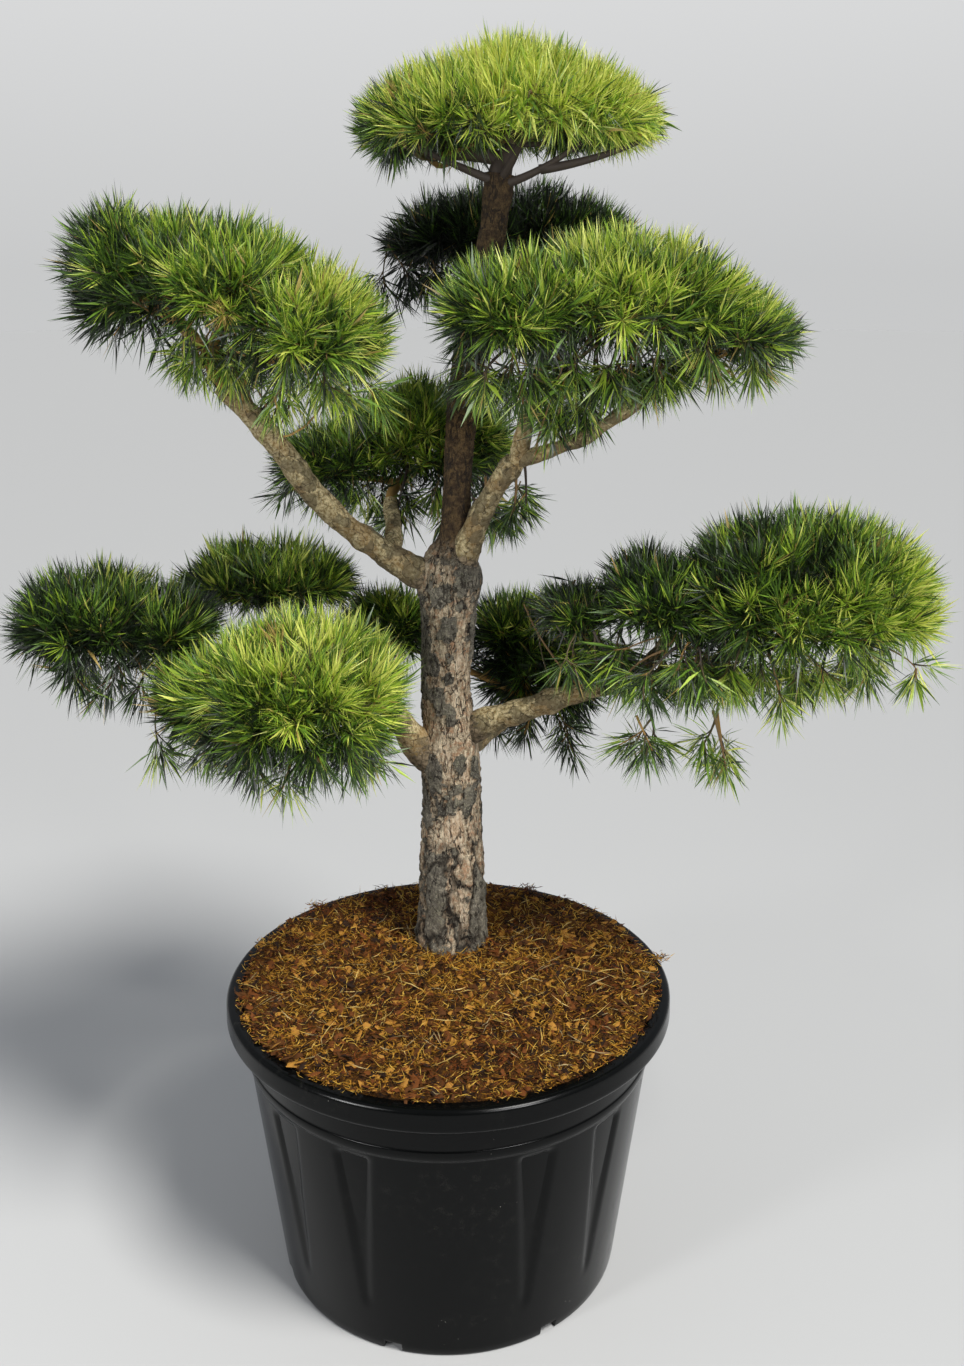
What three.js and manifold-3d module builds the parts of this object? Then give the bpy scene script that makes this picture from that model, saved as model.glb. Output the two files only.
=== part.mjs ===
// A garden scots pine trained as a cloud-pruned bonsai, standing in its round nursery pot.
// Millimetres, +Z up. The origin is the centre of the pot's flat underside, on the floor.
// Seen from the front, the line of sight runs along +Y and +X is to the right.

import * as THREE from 'three';
import { mergeVertices } from 'three/addons/utils/BufferGeometryUtils.js';
import Module from 'manifold-3d';

const wasm = await Module();
wasm.setup();

// Driving sizes of the pot
const pot = {
  rimRadius: 386,
  rimHeight: 494,
  baseRadius: 294,
  wall: 5,
  floor: 12,
  lipHeight: 38,
  lipProud: 22,
  lipRound: 8,
  edgeRound: 4,
  ringDrop: 92,
  ringProud: 4,
  ringHeight: 14,
  fluteDepth: 3.5,
  fluteHalfAngle: 13.5,
  fluteFoot: 50,
  fluteFade: 70,
  fluteDrop: 16,
  segments: 40,
  notches: 7,
  notchWidth: 30,
  notchHeight: 15,
  notchDepth: 26,
  firstNotch: -17,
};

// The filling of soil, level in the middle and falling a little towards the wall
const soil = { top: 504, levelRadius: 235, shoulderDrop: 6, edgeDrop: 17, segments: 36 };

// Gap between neighbouring solids
const clearance = 0.35;

// Stations along each limb: x, y, z and radius
const trunkStations = [
  [2, 125, soil.top + clearance, 65],
  [3, 124, 560, 61],
  [3, 122, 660, 59],
  [3, 120, 775, 55],
  [3, 119, 851, 54],
  [-3, 117, 937, 47],
  [-6, 116, 990, 44],
  [-4, 115, 1050, 46],
  [0, 113, 1150, 51],
  [1, 112, 1192, 54],
  [4, 111, 1226, 47],
  [11, 109, 1260, 31],
  [14, 108, 1329, 25],
  [18, 107, 1416, 24],
  [24, 107, 1470, 26],
  [29, 106, 1510, 28],
  [34, 106, 1570, 26],
  [58, 107, 1672, 25],
  [78, 110, 1800, 23],
  [88, 111, 1880, 24],
];

// Each bough tapers from where it leaves its parent to where it enters its foliage
const boughStations = {
  bough_left_upper: [
    [-24, 108, 1186, 31], [-64, 100, 1208, 27], [-102, 93, 1233, 23], [-142, 85, 1263, 21],
    [-180, 74, 1296, 20], [-232, 56, 1356, 20], [-278, 38, 1427, 20], [-319, 22, 1482, 18],
    [-366, 2, 1536, 16],
  ],
  bough_right_upper: [
    [22, 98, 1202, 29], [34, 90, 1256, 24], [51, 78, 1299, 20], [68, 66, 1336, 19],
    [92, 52, 1376, 18], [113, 40, 1406, 18],
  ],
  bough_right_rise: [
    [114, 38, 1398, 17], [121, 32, 1428, 15], [129, 22, 1461, 14], [141, 4, 1512, 13],
    [152, -12, 1559, 12], [160, -24, 1594, 11],
  ],
  bough_right_reach: [
    [112, 38, 1404, 15], [135, 30, 1414, 14], [163, 22, 1425, 13], [190, 16, 1435, 12],
    [223, 10, 1449, 12], [253, 3, 1468, 12], [285, -3, 1490, 11], [315, -7, 1512, 11],
    [362, -10, 1547, 10],
  ],
  bough_upper_back: [[62, 118, 1672, 18], [76, 190, 1694, 15], [92, 262, 1716, 12]],
  bough_middle_back: [[-98, 94, 1222, 18], [-100, 170, 1262, 15], [-112, 262, 1300, 13]],
  bough_left_lower: [[-14, 114, 846, 40], [-59, 94, 894, 28], [-83, 76, 938, 22], [-94, 67, 960, 20]],
  bough_left_lower_front: [[-90, 70, 951, 18], [-128, 24, 980, 17], [-166, -16, 1000, 14]],
  bough_left_lower_far: [
    [-86, 74, 946, 18], [-150, 108, 986, 18], [-300, 116, 1024, 16],
    [-430, 98, 1052, 14], [-520, 74, 1078, 12],
  ],
  bough_left_lower_back: [[-180, 104, 993, 15], [-232, 158, 1020, 14], [-286, 212, 1062, 12]],
  bough_right_lower: [
    [29, 108, 908, 36], [62, 98, 932, 26], [102, 85, 949, 22], [128, 78, 960, 20],
    [160, 71, 972, 18], [187, 66, 984, 19], [220, 61, 994, 16], [256, 54, 1005, 14],
    [290, 49, 1012, 13], [326, 46, 1021, 12],
  ],
  bough_right_lower_near: [[318, 47, 1016, 11], [352, 50, 1062, 11], [384, 50, 1100, 10]],
  bough_right_lower_far: [[312, 47, 1018, 12], [400, 30, 1046, 12], [520, 14, 1092, 11]],
  bough_lower_back: [[16, 128, 862, 24], [70, 220, 872, 18], [122, 296, 884, 14]],
};

// Sides round a limb, and the length of the steps along it
const trunkSides = 14;
const trunkStep = 52;
const limbSides = 8;
const limbStep = 55;

// Foliage: every mass grows from the tip of one limb and fills a few rounded lobes.
// A lobe reaches wide and deep to its sides, rise above its centre and drop below it,
// measured to the tips of its needles. An open lobe hangs loose, with no dense heart.
const lobe = (at, wide, deep, rise, drop, open = false) => ({ at, wide, deep, rise, drop, open });
const masses = {
  mass_crown: {
    from: 'trunk',
    lobes: [lobe([112, 112, 1942], 262, 235, 160, 52), lobe([-35, 118, 1932], 128, 170, 138, 72)],
  },
  mass_upper_back: {
    from: 'bough_upper_back',
    lobes: [lobe([112, 352, 1760], 258, 185, 124, 70)],
  },
  mass_upper_right: {
    from: 'bough_right_reach',
    lobes: [
      lobe([285, -15, 1655], 195, 215, 148, 85),
      lobe([470, 0, 1605], 124, 165, 94, 46),
      lobe([112, -95, 1652], 142, 160, 118, 84),
    ],
  },
  mass_upper_left: {
    from: 'bough_left_upper',
    lobes: [
      lobe([-345, -20, 1690], 150, 215, 122, 142),
      lobe([-478, 20, 1715], 145, 180, 122, 180),
      lobe([-215, -60, 1617], 142, 195, 122, 118),
    ],
  },
  mass_middle_back: {
    from: 'bough_middle_back',
    lobes: [lobe([-50, 385, 1380], 190, 155, 142, 140), lobe([-235, 365, 1350], 165, 150, 112, 100)],
  },
  mass_lower_left_far: {
    from: 'bough_left_lower_far',
    lobes: [lobe([-610, 45, 1125], 155, 175, 108, 115)],
  },
  mass_lower_left_back: {
    from: 'bough_left_lower_back',
    lobes: [lobe([-350, 295, 1130], 195, 160, 108, 72)],
  },
  mass_lower_left_front: {
    from: 'bough_left_lower_front',
    lobes: [lobe([-250, -105, 1050], 192, 205, 150, 192), lobe([-398, -45, 1035], 108, 135, 88, 102)],
  },
  mass_lower_right_near: {
    from: 'bough_right_lower_near',
    lobes: [
      lobe([365, 48, 1168], 130, 185, 112, 105),
      lobe([225, 95, 1140], 105, 125, 78, 58),
      lobe([375, -60, 985], 92, 90, 60, 140, true),
    ],
  },
  mass_lower_right_far: {
    from: 'bough_right_lower_far',
    lobes: [lobe([592, 5, 1155], 248, 225, 178, 118), lobe([590, -60, 1045], 80, 80, 60, 90, true)],
  },
  mass_lower_back: {
    from: 'bough_lower_back',
    lobes: [lobe([185, 405, 930], 158, 150, 145, 150), lobe([-120, 400, 1020], 130, 112, 105, 108)],
  },
};

// How twigs and sprays are made
const foliage = {
  squareness: 2.3,
  coreShare: 0.77,
  coreUnderShare: 0.52,
  heartDrop: 0.62,
  coreSides: 9,
  coreRings: 5,
  sprayPatch: 188,
  sprayRootShare: 0.52,
  sprayThickness: 5,
  sprayTeeth: 4,
  sprayFan: 0.7,
  sprayMiddle: 0.4,
  notchShare: 0.64,
  sideToothShare: 0.86,
  tipScatter: 16,
  lowestSine: -0.55,
  highestSine: 0.9,
  lowestTwigSine: -0.4,
  highestTwigSine: 0.25,
  twigSides: 3,
  twigsPerLobe: 3,
  openTwigs: 4,
  twigReach: 0.66,
  openTwigReach: 0.8,
  openHeartLift: 0.8,
  openSprayLength: 70,
  openSprayRoots: [0.55, 0.93],
  openSprayLean: 0.35,
  stemShare: 0.8,
  stemTaper: 0.8,
  branchShare: 0.7,
  branchTaper: 0.8,
  branchParting: 0.6,
  twigRadius: 6,
  twigTipShare: 0.45,
  ownMargin: 0.05,
  farOutside: 1.25,
  limbMargin: 5,
  coreMargin: 3,
};

const materials = {
  plastic: { color: 0x17191b, roughness: 0.42, metalness: 0 },
  soil: { color: 0x6b4a22, roughness: 0.98, metalness: 0 },
  bark: { color: 0x6f5f52, roughness: 0.95, metalness: 0 },
  branch: { color: 0x9a6f3e, roughness: 0.85, metalness: 0 },
  needles: { color: 0x4d7a25, roughness: 0.7, metalness: 0 },
};

const degrees = Math.PI / 180;
const goldenAngle = Math.PI * (3 - Math.sqrt(5));

// Repeatable random numbers between 0 and 1
function seededRandom(seed) {
  let state = seed >>> 0;
  return () => {
    state = (state + 0x6d2b79f5) >>> 0;
    let mixed = Math.imul(state ^ (state >>> 15), 1 | state);
    mixed = (mixed + Math.imul(mixed ^ (mixed >>> 7), 61 | mixed)) ^ mixed;
    return ((mixed ^ (mixed >>> 14)) >>> 0) / 4294967296;
  };
}

// A closed three.js geometry as a solid that can be joined and cut
function toSolid(geometry) {
  const bare = geometry.clone();
  bare.deleteAttribute('normal');
  bare.deleteAttribute('uv');
  const merged = mergeVertices(bare, 1e-4);
  return new wasm.Manifold(new wasm.Mesh({
    numProp: 3,
    vertProperties: new Float32Array(merged.attributes.position.array),
    triVerts: new Uint32Array(merged.index.array),
  }));
}

function toGeometry(solid) {
  const mesh = solid.getMesh();
  const geometry = new THREE.BufferGeometry();
  geometry.setAttribute('position', new THREE.BufferAttribute(mesh.vertProperties, 3));
  geometry.setIndex(new THREE.BufferAttribute(mesh.triVerts, 1));
  geometry.computeVertexNormals();
  return geometry;
}

// The largest connected body: loose scraps and the inner skins of sealed hollows are dropped
function largestBody(solid) {
  return solid.decompose().reduce((best, piece) => (piece.volume() > best.volume() ? piece : best));
}

// The smooth curve through a limb's stations
function limbCurve(stations) {
  const points = stations.map(([x, y, z]) => new THREE.Vector3(x, y, z));
  return new THREE.CatmullRomCurve3(points, false, 'centripetal');
}

// The radius at a share of the way along the stations
function limbRadius(stations, along) {
  const spans = stations.length - 1;
  const station = Math.min(Math.floor(along * spans), spans - 1);
  return THREE.MathUtils.lerp(stations[station][3], stations[station + 1][3], along * spans - station);
}

// A capped cylinder bent along the curve of a limb, with the radii of its stations.
// grow thickens it all round and lengthens both ends by the same amount.
function limbGeometry(stations, sides, stepLength, grow = 0) {
  const curve = limbCurve(stations);
  const steps = Math.max(stations.length - 1, Math.round(curve.getLength() / stepLength));
  const geometry = new THREE.CylinderGeometry(1, 1, 1, sides, steps);
  const heading = curve.getPoint(1).sub(curve.getPoint(0));
  const runsBack = Math.abs(heading.y) > Math.abs(heading.x);
  const across = runsBack ? new THREE.Vector3(1, 0, 0) : new THREE.Vector3(0, 1, 0);
  const position = geometry.attributes.position;
  const corner = new THREE.Vector3();
  for (let index = 0; index < position.count; index += 1) {
    corner.fromBufferAttribute(position, index);
    const along = THREE.MathUtils.clamp(corner.y + 0.5, 0, 1);
    const radius = limbRadius(stations, along) + grow;
    const tangent = curve.getTangent(along);
    const side = across.clone().addScaledVector(tangent, -across.dot(tangent)).normalize();
    const other = side.clone().cross(tangent);
    const atEnd = along < 1e-6 ? -grow : along > 1 - 1e-6 ? grow : 0;
    const place = curve.getPoint(along)
      .addScaledVector(tangent, atEnd)
      .addScaledVector(side, corner.x * radius)
      .addScaledVector(other, corner.z * radius);
    position.setXYZ(index, place.x, place.y, place.z);
  }
  return geometry;
}

// The trunk's foot is cut level with the soil
function trunkGeometry(grow = 0) {
  const geometry = limbGeometry(trunkStations, trunkSides, trunkStep, grow);
  const position = geometry.attributes.position;
  const foot = soil.top + clearance;
  for (let index = 0; index < position.count; index += 1) {
    const lowest = position.getZ(index) < foot + trunkStep / 4;
    if (lowest && grow === 0) position.setZ(index, foot);
  }
  return geometry;
}

const stationsOf = { trunk: trunkStations, ...boughStations };

// Point and radius samples along every limb, used to keep foliage clear of the wood
const woodSamples = Object.values(stationsOf).flatMap((stations) => {
  const curve = limbCurve(stations);
  const count = (stations.length - 1) * 6;
  return Array.from({ length: count + 1 }, (unused, index) => ({
    centre: curve.getPoint(index / count),
    radius: limbRadius(stations, index / count),
  }));
});

// Lathe profiles are turned about +Y by three.js, so they are tipped up to stand on +Z
function turned(profile, segments) {
  const outline = profile.map(([radius, height]) => new THREE.Vector2(radius, height));
  return new THREE.LatheGeometry(outline, segments).rotateX(Math.PI / 2);
}

// Radius of the tapered wall at a height
function wallRadius(height) {
  const taperTop = pot.rimRadius - pot.lipProud;
  return THREE.MathUtils.lerp(pot.baseRadius, taperTop, height / pot.rimHeight);
}

// The pot: floor, tapered wall, moulded ring, plain band and rounded lip, as one turned shell.
// Four shallow flutes are pressed into the wall below the ring, and fade towards the foot.
function potSolid() {
  const lipFoot = pot.rimHeight - pot.lipHeight;
  const ringTop = pot.rimHeight - pot.ringDrop;
  const ringFoot = ringTop - pot.ringHeight;
  const fluteTop = ringFoot - pot.fluteDrop;
  const inner = (height) => wallRadius(height) - pot.wall;
  const fluteFull = pot.fluteFoot + pot.fluteFade;
  const outerWall = [pot.fluteFoot, fluteFull, fluteTop];
  const profile = [
    [0, 0],
    [pot.baseRadius - pot.edgeRound, 0],
    [pot.baseRadius, pot.edgeRound],
    ...outerWall.map((height) => [wallRadius(height), height]),
    [wallRadius(ringFoot), ringFoot],
    [wallRadius(ringFoot) + pot.ringProud, ringFoot + pot.ringHeight / 2],
    [wallRadius(ringTop), ringTop],
    [wallRadius(lipFoot), lipFoot],
    [pot.rimRadius, lipFoot + pot.edgeRound],
    [pot.rimRadius, pot.rimHeight - pot.lipRound],
    [pot.rimRadius - pot.lipRound, pot.rimHeight],
    [inner(pot.rimHeight) + pot.edgeRound / 2, pot.rimHeight - pot.edgeRound / 2],
    [inner(pot.rimHeight), pot.rimHeight - pot.lipRound],
    [inner(pot.floor), pot.floor],
    [0, pot.floor],
  ];
  const shell = turned(profile, pot.segments);
  const position = shell.attributes.position;
  const quarter = 90 * degrees;
  for (let index = 0; index < position.count; index += 1) {
    const x = position.getX(index);
    const y = position.getY(index);
    const z = position.getZ(index);
    const radius = Math.hypot(x, y);
    const onOuterWall = radius > wallRadius(z) - 1 && z > fluteFull - 1 && z < fluteTop + 1;
    const turn = ((Math.atan2(y, x) % quarter) + quarter) % quarter;
    const offset = Math.abs(turn - quarter / 2) / degrees;
    if (onOuterWall && offset < pot.fluteHalfAngle - 0.5) {
      const pressed = 1 - pot.fluteDepth / radius;
      position.setXY(index, x * pressed, y * pressed);
    }
  }
  let solid = toSolid(shell);
  for (let notch = 0; notch < pot.notches; notch += 1) {
    const angle = (pot.firstNotch - 90 + (360 / pot.notches) * notch) * degrees;
    const cut = new THREE.BoxGeometry(pot.notchDepth, pot.notchWidth, pot.notchHeight * 2)
      .translate(pot.baseRadius, 0, 0)
      .rotateZ(angle);
    solid = solid.subtract(toSolid(cut));
  }
  return solid;
}

// The soil fills the pot up to a level middle that the trunk stands on
function soilSolid() {
  const inner = (height) => wallRadius(height) - pot.wall - 3 * clearance;
  const floor = pot.floor + clearance;
  const edge = soil.top - soil.edgeDrop;
  const shoulder = (soil.levelRadius + inner(edge)) / 2;
  return toSolid(turned([
    [0, floor],
    [inner(floor) - 1, floor],
    [inner(edge), edge],
    [shoulder, soil.top - soil.shoulderDrop],
    [soil.levelRadius, soil.top],
    [0, soil.top],
  ], soil.segments));
}

// How far along a direction the lobe reaches, as a rounded box between an ellipsoid and a block
function lobeReach(shape, direction) {
  const height = direction.z > 0 ? shape.rise : shape.drop;
  const power = foliage.squareness;
  const sum = Math.abs(direction.x / shape.wide) ** power
    + Math.abs(direction.y / shape.deep) ** power
    + Math.abs(direction.z / height) ** power;
  return sum ** (-1 / power);
}

// 0 at a lobe's centre, 1 at its needle tips
function lobeDepth(shape, point) {
  const offset = point.clone().sub(new THREE.Vector3(...shape.at));
  const distance = offset.length();
  return distance < 1e-6 ? 0 : distance / lobeReach(shape, offset.normalize());
}

function massDepth(mass, point) {
  return Math.min(...mass.lobes.map((shape) => lobeDepth(shape, point)));
}

// The point where a lobe's twigs part: a little under its centre, or high in a hanging lobe
function heartOf(shape) {
  const lift = shape.open ? shape.rise * foliage.openHeartLift : -shape.drop * foliage.heartDrop;
  return new THREE.Vector3(shape.at[0], shape.at[1], shape.at[2] + lift);
}

// The dense core of a clipped lobe: its own form drawn in, flatter below
function coreSolid(shape) {
  const ball = new THREE.SphereGeometry(1, foliage.coreSides, foliage.coreRings).rotateX(Math.PI / 2);
  const position = ball.attributes.position;
  const direction = new THREE.Vector3();
  for (let index = 0; index < position.count; index += 1) {
    direction.fromBufferAttribute(position, index).normalize();
    const reach = lobeReach(shape, direction) * foliage.coreShare;
    const flatten = direction.z < 0 ? foliage.coreUnderShare / foliage.coreShare : 1;
    position.setXYZ(
      index,
      shape.at[0] + direction.x * reach,
      shape.at[1] + direction.y * reach,
      shape.at[2] + direction.z * reach * flatten,
    );
  }
  return toSolid(ball);
}

// A thin straight twig of a few sides that tapers between two points
function twigSolid(start, end, startRadius, endRadius) {
  const stations = [[...start.toArray(), startRadius], [...end.toArray(), endRadius]];
  return toSolid(limbGeometry(stations, foliage.twigSides, start.distanceTo(end)));
}

// Outline of a spray, from the point of its root round its teeth
function sprayOutline(length) {
  const gaps = foliage.sprayTeeth - 1;
  const outline = [[0, 0]];
  for (let corner = 0; corner <= 2 * gaps; corner += 1) {
    const fan = foliage.sprayFan * (1 - corner / gaps);
    const sideways = Math.abs(fan) / foliage.sprayFan;
    const toothShare = THREE.MathUtils.lerp(1, foliage.sideToothShare, sideways);
    const reach = length * (corner % 2 === 0 ? toothShare : foliage.notchShare);
    outline.push([Math.sin(fan) * reach, Math.cos(fan) * reach]);
  }
  return outline;
}

// A spray of needles as a toothed blade: a turned lens whose rim is drawn out to the outline
function spraySolid(root, tip, roll) {
  const outward = tip.clone().sub(root);
  const length = outward.length();
  outward.normalize();
  const outline = sprayOutline(length);
  const middle = length * foliage.sprayMiddle;
  const half = foliage.sprayThickness / 2;
  const lens = new THREE.LatheGeometry(
    [new THREE.Vector2(0, -half), new THREE.Vector2(1, 0), new THREE.Vector2(0, half)],
    outline.length,
  ).rotateX(Math.PI / 2);
  const position = lens.attributes.position;
  for (let index = 0; index < position.count; index += 1) {
    const onRim = Math.hypot(position.getX(index), position.getY(index)) > 0.5;
    const turn = Math.atan2(position.getY(index), position.getX(index)) / (2 * Math.PI);
    const corner = (Math.round(turn * outline.length) + outline.length) % outline.length;
    const [x, y] = onRim ? outline[corner] : [0, middle];
    position.setXY(index, x, y);
  }
  const helper = Math.abs(outward.z) > 0.9 ? new THREE.Vector3(1, 0, 0) : new THREE.Vector3(0, 0, 1);
  const across = helper.cross(outward).normalize().applyAxisAngle(outward, roll);
  const face = across.clone().cross(outward);
  lens.applyMatrix4(new THREE.Matrix4().makeBasis(across, outward, face).setPosition(root));
  return toSolid(lens);
}

// A blade keeps to its own mass and off the wood, judged at points over it
function sprayIsFree(name, root, tip) {
  const length = root.distanceTo(tip);
  return [0.45, 0.7, 1].every((share) => {
    const point = root.clone().lerp(tip, share);
    const spread = share * length * Math.sin(foliage.sprayFan);
    const own = massDepth(masses[name], point);
    const others = Object.keys(masses).filter((other) => other !== name);
    const inOwnSpace = others.every((other) => {
      const size = Math.min(...masses[other].lobes.map((shape) => Math.min(shape.wide, shape.deep)));
      return massDepth(masses[other], point) - spread / size > Math.min(own, 1) + foliage.ownMargin
        || massDepth(masses[other], point) > foliage.farOutside;
    });
    const offWood = woodSamples.every(({ centre, radius }) => (
      centre.distanceTo(point) > radius + foliage.limbMargin + spread * 0.8
    ));
    return inOwnSpace && offWood;
  });
}

// Directions spread evenly round a lobe, between two heights given as sines
function lobeDirections(count, lowestSine, highestSine, random) {
  return Array.from({ length: count }, (unused, index) => {
    const sine = lowestSine + (highestSine - lowestSine) * ((index + 0.5) / count);
    const level = Math.sqrt(1 - sine * sine);
    const turn = index * goldenAngle + random() * 0.5;
    return new THREE.Vector3(Math.cos(turn) * level, Math.sin(turn) * level, sine);
  });
}

// The four sides and the top of a lobe, where its furthest tips are
const outermost = [[1, 0, 0.05], [-1, 0, 0.05], [0, 1, 0.05], [0, -1, 0.05], [0.02, 0, 1]]
  .map((direction) => new THREE.Vector3(...direction).normalize());

// Rough area of a lobe's upper and side face, which sets its number of sprays:
// a flattened dome above its centre, and about two thirds of the belt below it
function lobeArea(shape) {
  const width = (shape.wide + shape.deep) / 2;
  return Math.PI * width * (0.8 * (width + shape.rise) + 0.6 * shape.drop);
}

// Twigs and sprays of one lobe, from its heart outwards
function lobeSolids(name, shape, random) {
  const heart = heartOf(shape);
  const centre = new THREE.Vector3(...shape.at);
  const scatter = () => (random() - 0.5) * 2;
  const twigCount = shape.open ? foliage.openTwigs : foliage.twigsPerLobe;
  const twigReach = shape.open ? foliage.openTwigReach : foliage.twigReach;
  const solids = shape.open ? [] : [coreSolid(shape)];
  const twigEnds = lobeDirections(twigCount, foliage.lowestTwigSine, foliage.highestTwigSine, random)
    .map((direction) => (shape.open ? direction.setZ(-Math.abs(direction.z) - 0.2).normalize() : direction))
    .map((direction) => centre.clone().addScaledVector(direction, lobeReach(shape, direction) * twigReach));
  for (const end of twigEnds) {
    solids.push(twigSolid(heart, end, foliage.twigRadius, foliage.twigRadius * foliage.twigTipShare));
  }
  if (shape.open) {
    for (const end of twigEnds) {
      for (const share of foliage.openSprayRoots) {
        const outward = end.clone().sub(heart).normalize();
        const lean = new THREE.Vector3(scatter(), scatter(), scatter() - 0.4);
        outward.addScaledVector(lean, foliage.openSprayLean).normalize();
        const root = heart.clone().lerp(end, share);
        const tip = root.clone().addScaledVector(outward, foliage.openSprayLength);
        if (sprayIsFree(name, root, tip)) solids.push(spraySolid(root, tip, random() * Math.PI));
      }
    }
    return solids;
  }
  const sprayCount = Math.round(lobeArea(shape) / foliage.sprayPatch ** 2);
  const spread = lobeDirections(sprayCount, foliage.lowestSine, foliage.highestSine, random);
  for (const direction of [...outermost, ...spread]) {
    const reach = lobeReach(shape, direction);
    const tip = centre.clone().addScaledVector(direction, reach);
    const aside = new THREE.Vector3(scatter(), scatter(), scatter()).multiplyScalar(foliage.tipScatter);
    tip.add(aside.projectOnPlane(direction));
    const root = centre.clone().addScaledVector(direction, reach * foliage.sprayRootShare);
    if (direction.z < 0) root.z = centre.z + (root.z - centre.z) * foliage.coreUnderShare;
    const buried = masses[name].lobes.some((other) => (
      other !== shape && !other.open && lobeDepth(other, tip) < foliage.coreShare
    ));
    if (!buried && sprayIsFree(name, root, tip)) solids.push(spraySolid(root, tip, random() * Math.PI));
  }
  return solids;
}

// One mass: a stem from its limb's tip to the first lobe's heart, branches to the other hearts,
// then the twigs, cores and sprays of every lobe, fused to one body and cut clear of the wood
function massSolid(name, wood, earlierCores, seed) {
  const mass = masses[name];
  const random = seededRandom(seed);
  const limb = stationsOf[mass.from];
  const [tipX, tipY, tipZ, tipRadius] = limb[limb.length - 1];
  const tip = new THREE.Vector3(tipX, tipY, tipZ);
  const before = new THREE.Vector3(...limb[limb.length - 2].slice(0, 3));
  const stemStart = tip.clone().add(before.sub(tip).normalize().multiplyScalar(foliage.twigRadius));
  const stemRadius = tipRadius * foliage.stemShare;
  const firstHeart = heartOf(mass.lobes[0]);
  const solids = [twigSolid(stemStart, firstHeart, stemRadius, stemRadius * foliage.stemTaper)];
  const branchRadius = stemRadius * foliage.branchShare;
  for (const shape of mass.lobes.slice(1)) {
    const parting = stemStart.clone().lerp(firstHeart, foliage.branchParting);
    const heart = heartOf(shape);
    solids.push(twigSolid(parting, heart, branchRadius, branchRadius * foliage.branchTaper));
  }
  for (const shape of mass.lobes) solids.push(...lobeSolids(name, shape, random));
  const fused = wasm.Manifold.union(solids);
  const cleared = [wood, ...earlierCores].reduce((solid, other) => solid.subtract(other), fused);
  return largestBody(cleared);
}

// The core of a mass swollen a little, which later masses are cut clear of
function grownCores(name) {
  return masses[name].lobes.filter((shape) => !shape.open).map((shape) => coreSolid({
    ...shape,
    wide: shape.wide + foliage.coreMargin,
    deep: shape.deep + foliage.coreMargin,
    rise: shape.rise + foliage.coreMargin,
    drop: shape.drop + foliage.coreMargin,
  }));
}

const tree = new THREE.Group();

function addPart(name, solid, look) {
  const mesh = new THREE.Mesh(toGeometry(solid), new THREE.MeshStandardMaterial(materials[look]));
  mesh.name = name;
  tree.add(mesh);
}

addPart('pot', potSolid(), 'plastic');
addPart('soil', soilSolid(), 'soil');

// Each bough is cut clear of the limbs before it, so that it starts at its parent's skin
const trunk = toSolid(trunkGeometry());
addPart('trunk', trunk, 'bark');
let grownWood = toSolid(trunkGeometry(clearance));
for (const [name, stations] of Object.entries(boughStations)) {
  const bough = largestBody(toSolid(limbGeometry(stations, limbSides, limbStep)).subtract(grownWood));
  addPart(name, bough, 'branch');
  grownWood = grownWood.add(toSolid(limbGeometry(stations, limbSides, limbStep, clearance)));
}

const earlierCores = [];
Object.keys(masses).forEach((name, index) => {
  addPart(name, massSolid(name, grownWood, earlierCores, 101 + index), 'needles');
  earlierCores.push(...grownCores(name));
});

export default tree;
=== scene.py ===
import math

import bpy
import numpy as np
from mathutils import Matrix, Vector


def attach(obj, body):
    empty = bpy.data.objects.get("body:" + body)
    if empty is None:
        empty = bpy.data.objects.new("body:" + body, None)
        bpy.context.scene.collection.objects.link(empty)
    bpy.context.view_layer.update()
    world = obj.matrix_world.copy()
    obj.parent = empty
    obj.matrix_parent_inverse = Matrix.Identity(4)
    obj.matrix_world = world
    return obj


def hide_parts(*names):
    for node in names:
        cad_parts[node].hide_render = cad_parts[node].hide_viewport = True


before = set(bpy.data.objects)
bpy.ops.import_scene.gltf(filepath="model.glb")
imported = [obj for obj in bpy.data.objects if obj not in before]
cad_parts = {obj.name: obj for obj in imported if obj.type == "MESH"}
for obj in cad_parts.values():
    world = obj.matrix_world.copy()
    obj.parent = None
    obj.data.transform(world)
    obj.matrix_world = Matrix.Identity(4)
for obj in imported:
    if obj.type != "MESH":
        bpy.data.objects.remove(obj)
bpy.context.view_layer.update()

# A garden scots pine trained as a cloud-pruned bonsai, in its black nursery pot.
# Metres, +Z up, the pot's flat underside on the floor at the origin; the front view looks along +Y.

# Camera, floor and light

viewSettings = {"place": (0.058, -2.201, 1.720), "downDegrees": 9.83, "lens": 35.58, "shiftUp": -0.130}

floorSettings = {"radius": 40.0, "drop": 0.0005, "colour": (0.555, 0.56, 0.563), "roughness": 0.9}

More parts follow.
